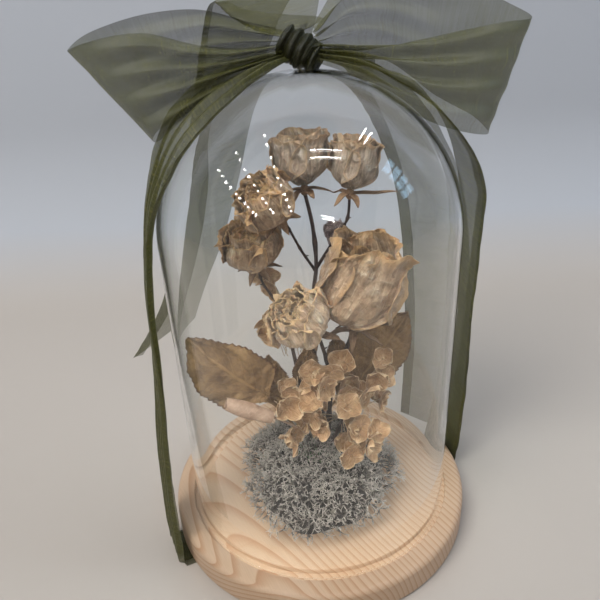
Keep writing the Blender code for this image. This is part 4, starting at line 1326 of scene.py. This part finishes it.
# Distance from the cushion's middle and height of its skin above the base.
MOSS_OUTLINE = [(0.0, 28.0), (17.0, 29.5), (28.0, 27.0), (37.0, 20.5), (44.0, 12.0),
                (47.5, 4.0), (60.0, 0.0)]
MOSS_RADIUS = 47.0
CORE_RADIUS = 36.5
CORE_STEPS = 120
SPRIGS = 880
SPRIG_RADIUS = 0.50
GOLDEN_ANGLE = 2.39996


def moss_height(radius):
    """Height of the cushion's skin above the base at a distance from its middle."""
    for (r0, h0), (r1, h1) in zip(MOSS_OUTLINE, MOSS_OUTLINE[1:]):
        if radius <= r1:
            return h0 + (h1 - h0) * (radius - r0) / (r1 - r0)
    return 0.0


def moss_lump(angle):
    """How much the cushion's outline bulges at an angle."""
    return 1.0 + 0.05 * math.sin(3 * angle + 0.7) + 0.04 * math.sin(7 * angle + 2.0)


def add_moss(light_material, painted_shade_material):
    """A dark heart of painted shade for the cushion's depth, and sprigs that stand out of it in
    clumps.
    """
    low, high = box_mm("moss_cushion")
    middle = Vector(((low.x + high.x) / 2, (low.y + high.y) / 2, low.z))
    core = Shape()
    rows = Rows()
    for i in range(40):
        reach = CORE_RADIUS * i / 39
        rows.start()
        for j in range(CORE_STEPS + 1):
            angle = math.tau * (j % CORE_STEPS) / CORE_STEPS
            radius = max(reach * moss_lump(angle), 0.01)
            x, y = radius * math.cos(angle), radius * math.sin(angle)
            rough = 2.6 * wobble(x / 7.0, y / 7.0, 3.0) + 1.6 * wobble(x / 2.6, y / 2.6, 9.0)
            height = max(moss_height(reach * 1.16) - 4.5 + rough, 0.1)
            height *= smooth(CORE_RADIUS, CORE_RADIUS - 2.5, reach)
            rows.add(middle + Vector((x, y, height)), (j / CORE_STEPS, 0.1))
    core.grid(rows)
    underside = Rows()
    for row in (rows.points[0], rows.points[-1]):
        underside.start()
        for j, point in enumerate(row):
            underside.add(Vector((point.x, point.y, middle.z)), (j / CORE_STEPS, 0.1))
    core.grid(underside)
    # The heart is a dark surface that stands in for the shade deep among the sprigs.
    core.build("moss_shade_core", painted_shade_material, "base", sharp=180)
    chooser = random.Random(23)
    moss = Shape()
    for number in range(SPRIGS):
        angle = number * GOLDEN_ANGLE
        radius = (MOSS_RADIUS - 0.5) * math.sqrt((number + 0.5) / SPRIGS)
        radius *= chooser.uniform(0.96, 1.0)
        outward = radius / MOSS_RADIUS
        lump = moss_lump(angle)
        clump = wobble(radius * math.cos(angle) / 11.0, radius * math.sin(angle) / 11.0, 31.0)
        height = moss_height(radius) * (0.92 + 0.22 * clump) + 1.0
        root = Vector((radius * lump * math.cos(angle), radius * lump * math.sin(angle), height))
        lean = Vector((root.x, root.y, 0)).normalized() * outward**1.5
        stray = Vector([chooser.uniform(-0.55, 0.55) for _ in range(3)])
        heading = (lean + stray + Vector((0, 0, 1.0 - 0.7 * radius / MOSS_RADIUS))).normalized()
        start = middle + root - heading * 5.5
        start.z = max(start.z - 2.5 * outward**4, middle.z + 0.8)
        length = chooser.uniform(3.2, 5.0) * (1.0 + 0.5 * clump)
        grow_sprig(moss, chooser, start, heading, length, SPRIG_RADIUS, 0)
    moss.points = [(x, y, max(z, middle.z + 0.1)) for x, y, z in moss.points]
    moss.build("reindeer_moss_sprigs", light_material, "base",
               ["moss_cushion"])


def add_foam(material):
    """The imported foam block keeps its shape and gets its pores."""
    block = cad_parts["floral_foam_block"]
    block.data.materials.clear()
    block.data.materials.append(material)


# ---------------------------------------------------------------- stage


# Front edge, start and radius of the bend, top edge, and columns across.
SWEEP_FRONT = -1600.0
SWEEP_BEND_START = 260.0
SWEEP_BEND = 160.0
SWEEP_TOP = 2200.0
SWEEP_COLUMNS = (-2600.0, -800.0, 0.0, 800.0, 2600.0)


def add_stage():
    """A pale sweep of paper: level floor that curves up into the backdrop."""
    outline = [(SWEEP_FRONT, 0.0), (SWEEP_BEND_START, 0.0)]
    for step in range(1, 13):
        angle = math.radians(90 * step / 12)
        outline.append((SWEEP_BEND_START + SWEEP_BEND * math.sin(angle),
                        SWEEP_BEND * (1 - math.cos(angle))))
    outline.append((SWEEP_BEND_START + SWEEP_BEND, SWEEP_TOP))
    width = len(SWEEP_COLUMNS)
    points = [(x * MM, y * MM, z * MM) for y, z in outline for x in SWEEP_COLUMNS]
    faces = []
    for i in range(len(outline) - 1):
        for j in range(width - 1):
            corner = width * i + j
            faces.append((corner, corner + 1, corner + width + 1, corner + width))
    mesh = bpy.data.meshes.new("paper_sweep")
    mesh.from_pydata(points, [], faces)
    mesh.shade_smooth()
    mesh.materials.append(floor_material())
    sweep = bpy.data.objects.new("paper_sweep", mesh)
    bpy.context.scene.collection.objects.link(sweep)


def main():
    """Camera, light and stage, then every part from the base up."""
    bpy.context.scene.view_settings.view_transform = "Standard"
    add_camera()
    add_lights()
    add_stage()
    add_base(pine_material())
    add_glass(glass_material())
    add_ribbon(organza_material())
    add_roses(
        {"tan": petal_material("tan_petal", (0.21, 0.135, 0.08), (0.46, 0.355, 0.245),
                               (0.88, 0.76, 0.58), (0.52, 0.31, 0.13)),
         "ashen": petal_material("ashen_petal", (0.22, 0.17, 0.125), (0.46, 0.41, 0.345),
                                 (0.84, 0.78, 0.68), (0.46, 0.29, 0.15)),
         "cream": petal_material("cream_petal", (0.36, 0.25, 0.16), (0.68, 0.57, 0.43),
                                 (0.97, 0.89, 0.74), (0.58, 0.38, 0.18))},
        leaf_material("sepal", (0.17, 0.09, 0.05), (0.40, 0.25, 0.14), (0.10, 0.05, 0.03), 4.0))
    add_stems(twig_material("dark_bark", (0.020, 0.012, 0.010), (0.085, 0.050, 0.035)))
    add_leaves(
        leaf_material("dried_leaf", (0.14, 0.075, 0.034), (0.37, 0.225, 0.10), (0.08, 0.03, 0.018)),
        leaf_material("rosy_leaf", (0.34, 0.20, 0.13), (0.60, 0.42, 0.30), (0.20, 0.10, 0.06)),
        leaf_material("grey_leaf", (0.20, 0.15, 0.14), (0.34, 0.27, 0.25), (0.10, 0.07, 0.06)))
    # The bracts' rim is painted lighter than their body: painted light for light shining through
    # their thin edges.
    add_florets(
        petal_material("golden_bract", (0.13, 0.07, 0.03), (0.54, 0.36, 0.19),
                       (0.92, 0.74, 0.50), (0.78, 0.58, 0.36), 0.7),
        twig_material("pale_thread", (0.30, 0.20, 0.12), (0.56, 0.44, 0.30)))
    add_moss(
        moss_material("moss_sprigs", (0.035, 0.029, 0.025), (0.155, 0.135, 0.115),
                      (0.52, 0.47, 0.41)),
        # The heart's very dark colours are painted shade.
        moss_material("moss_shade_core", (0.030, 0.027, 0.025), (0.085, 0.078, 0.072),
                      (0.16, 0.15, 0.14)))
    add_foam(foam_material())


main()
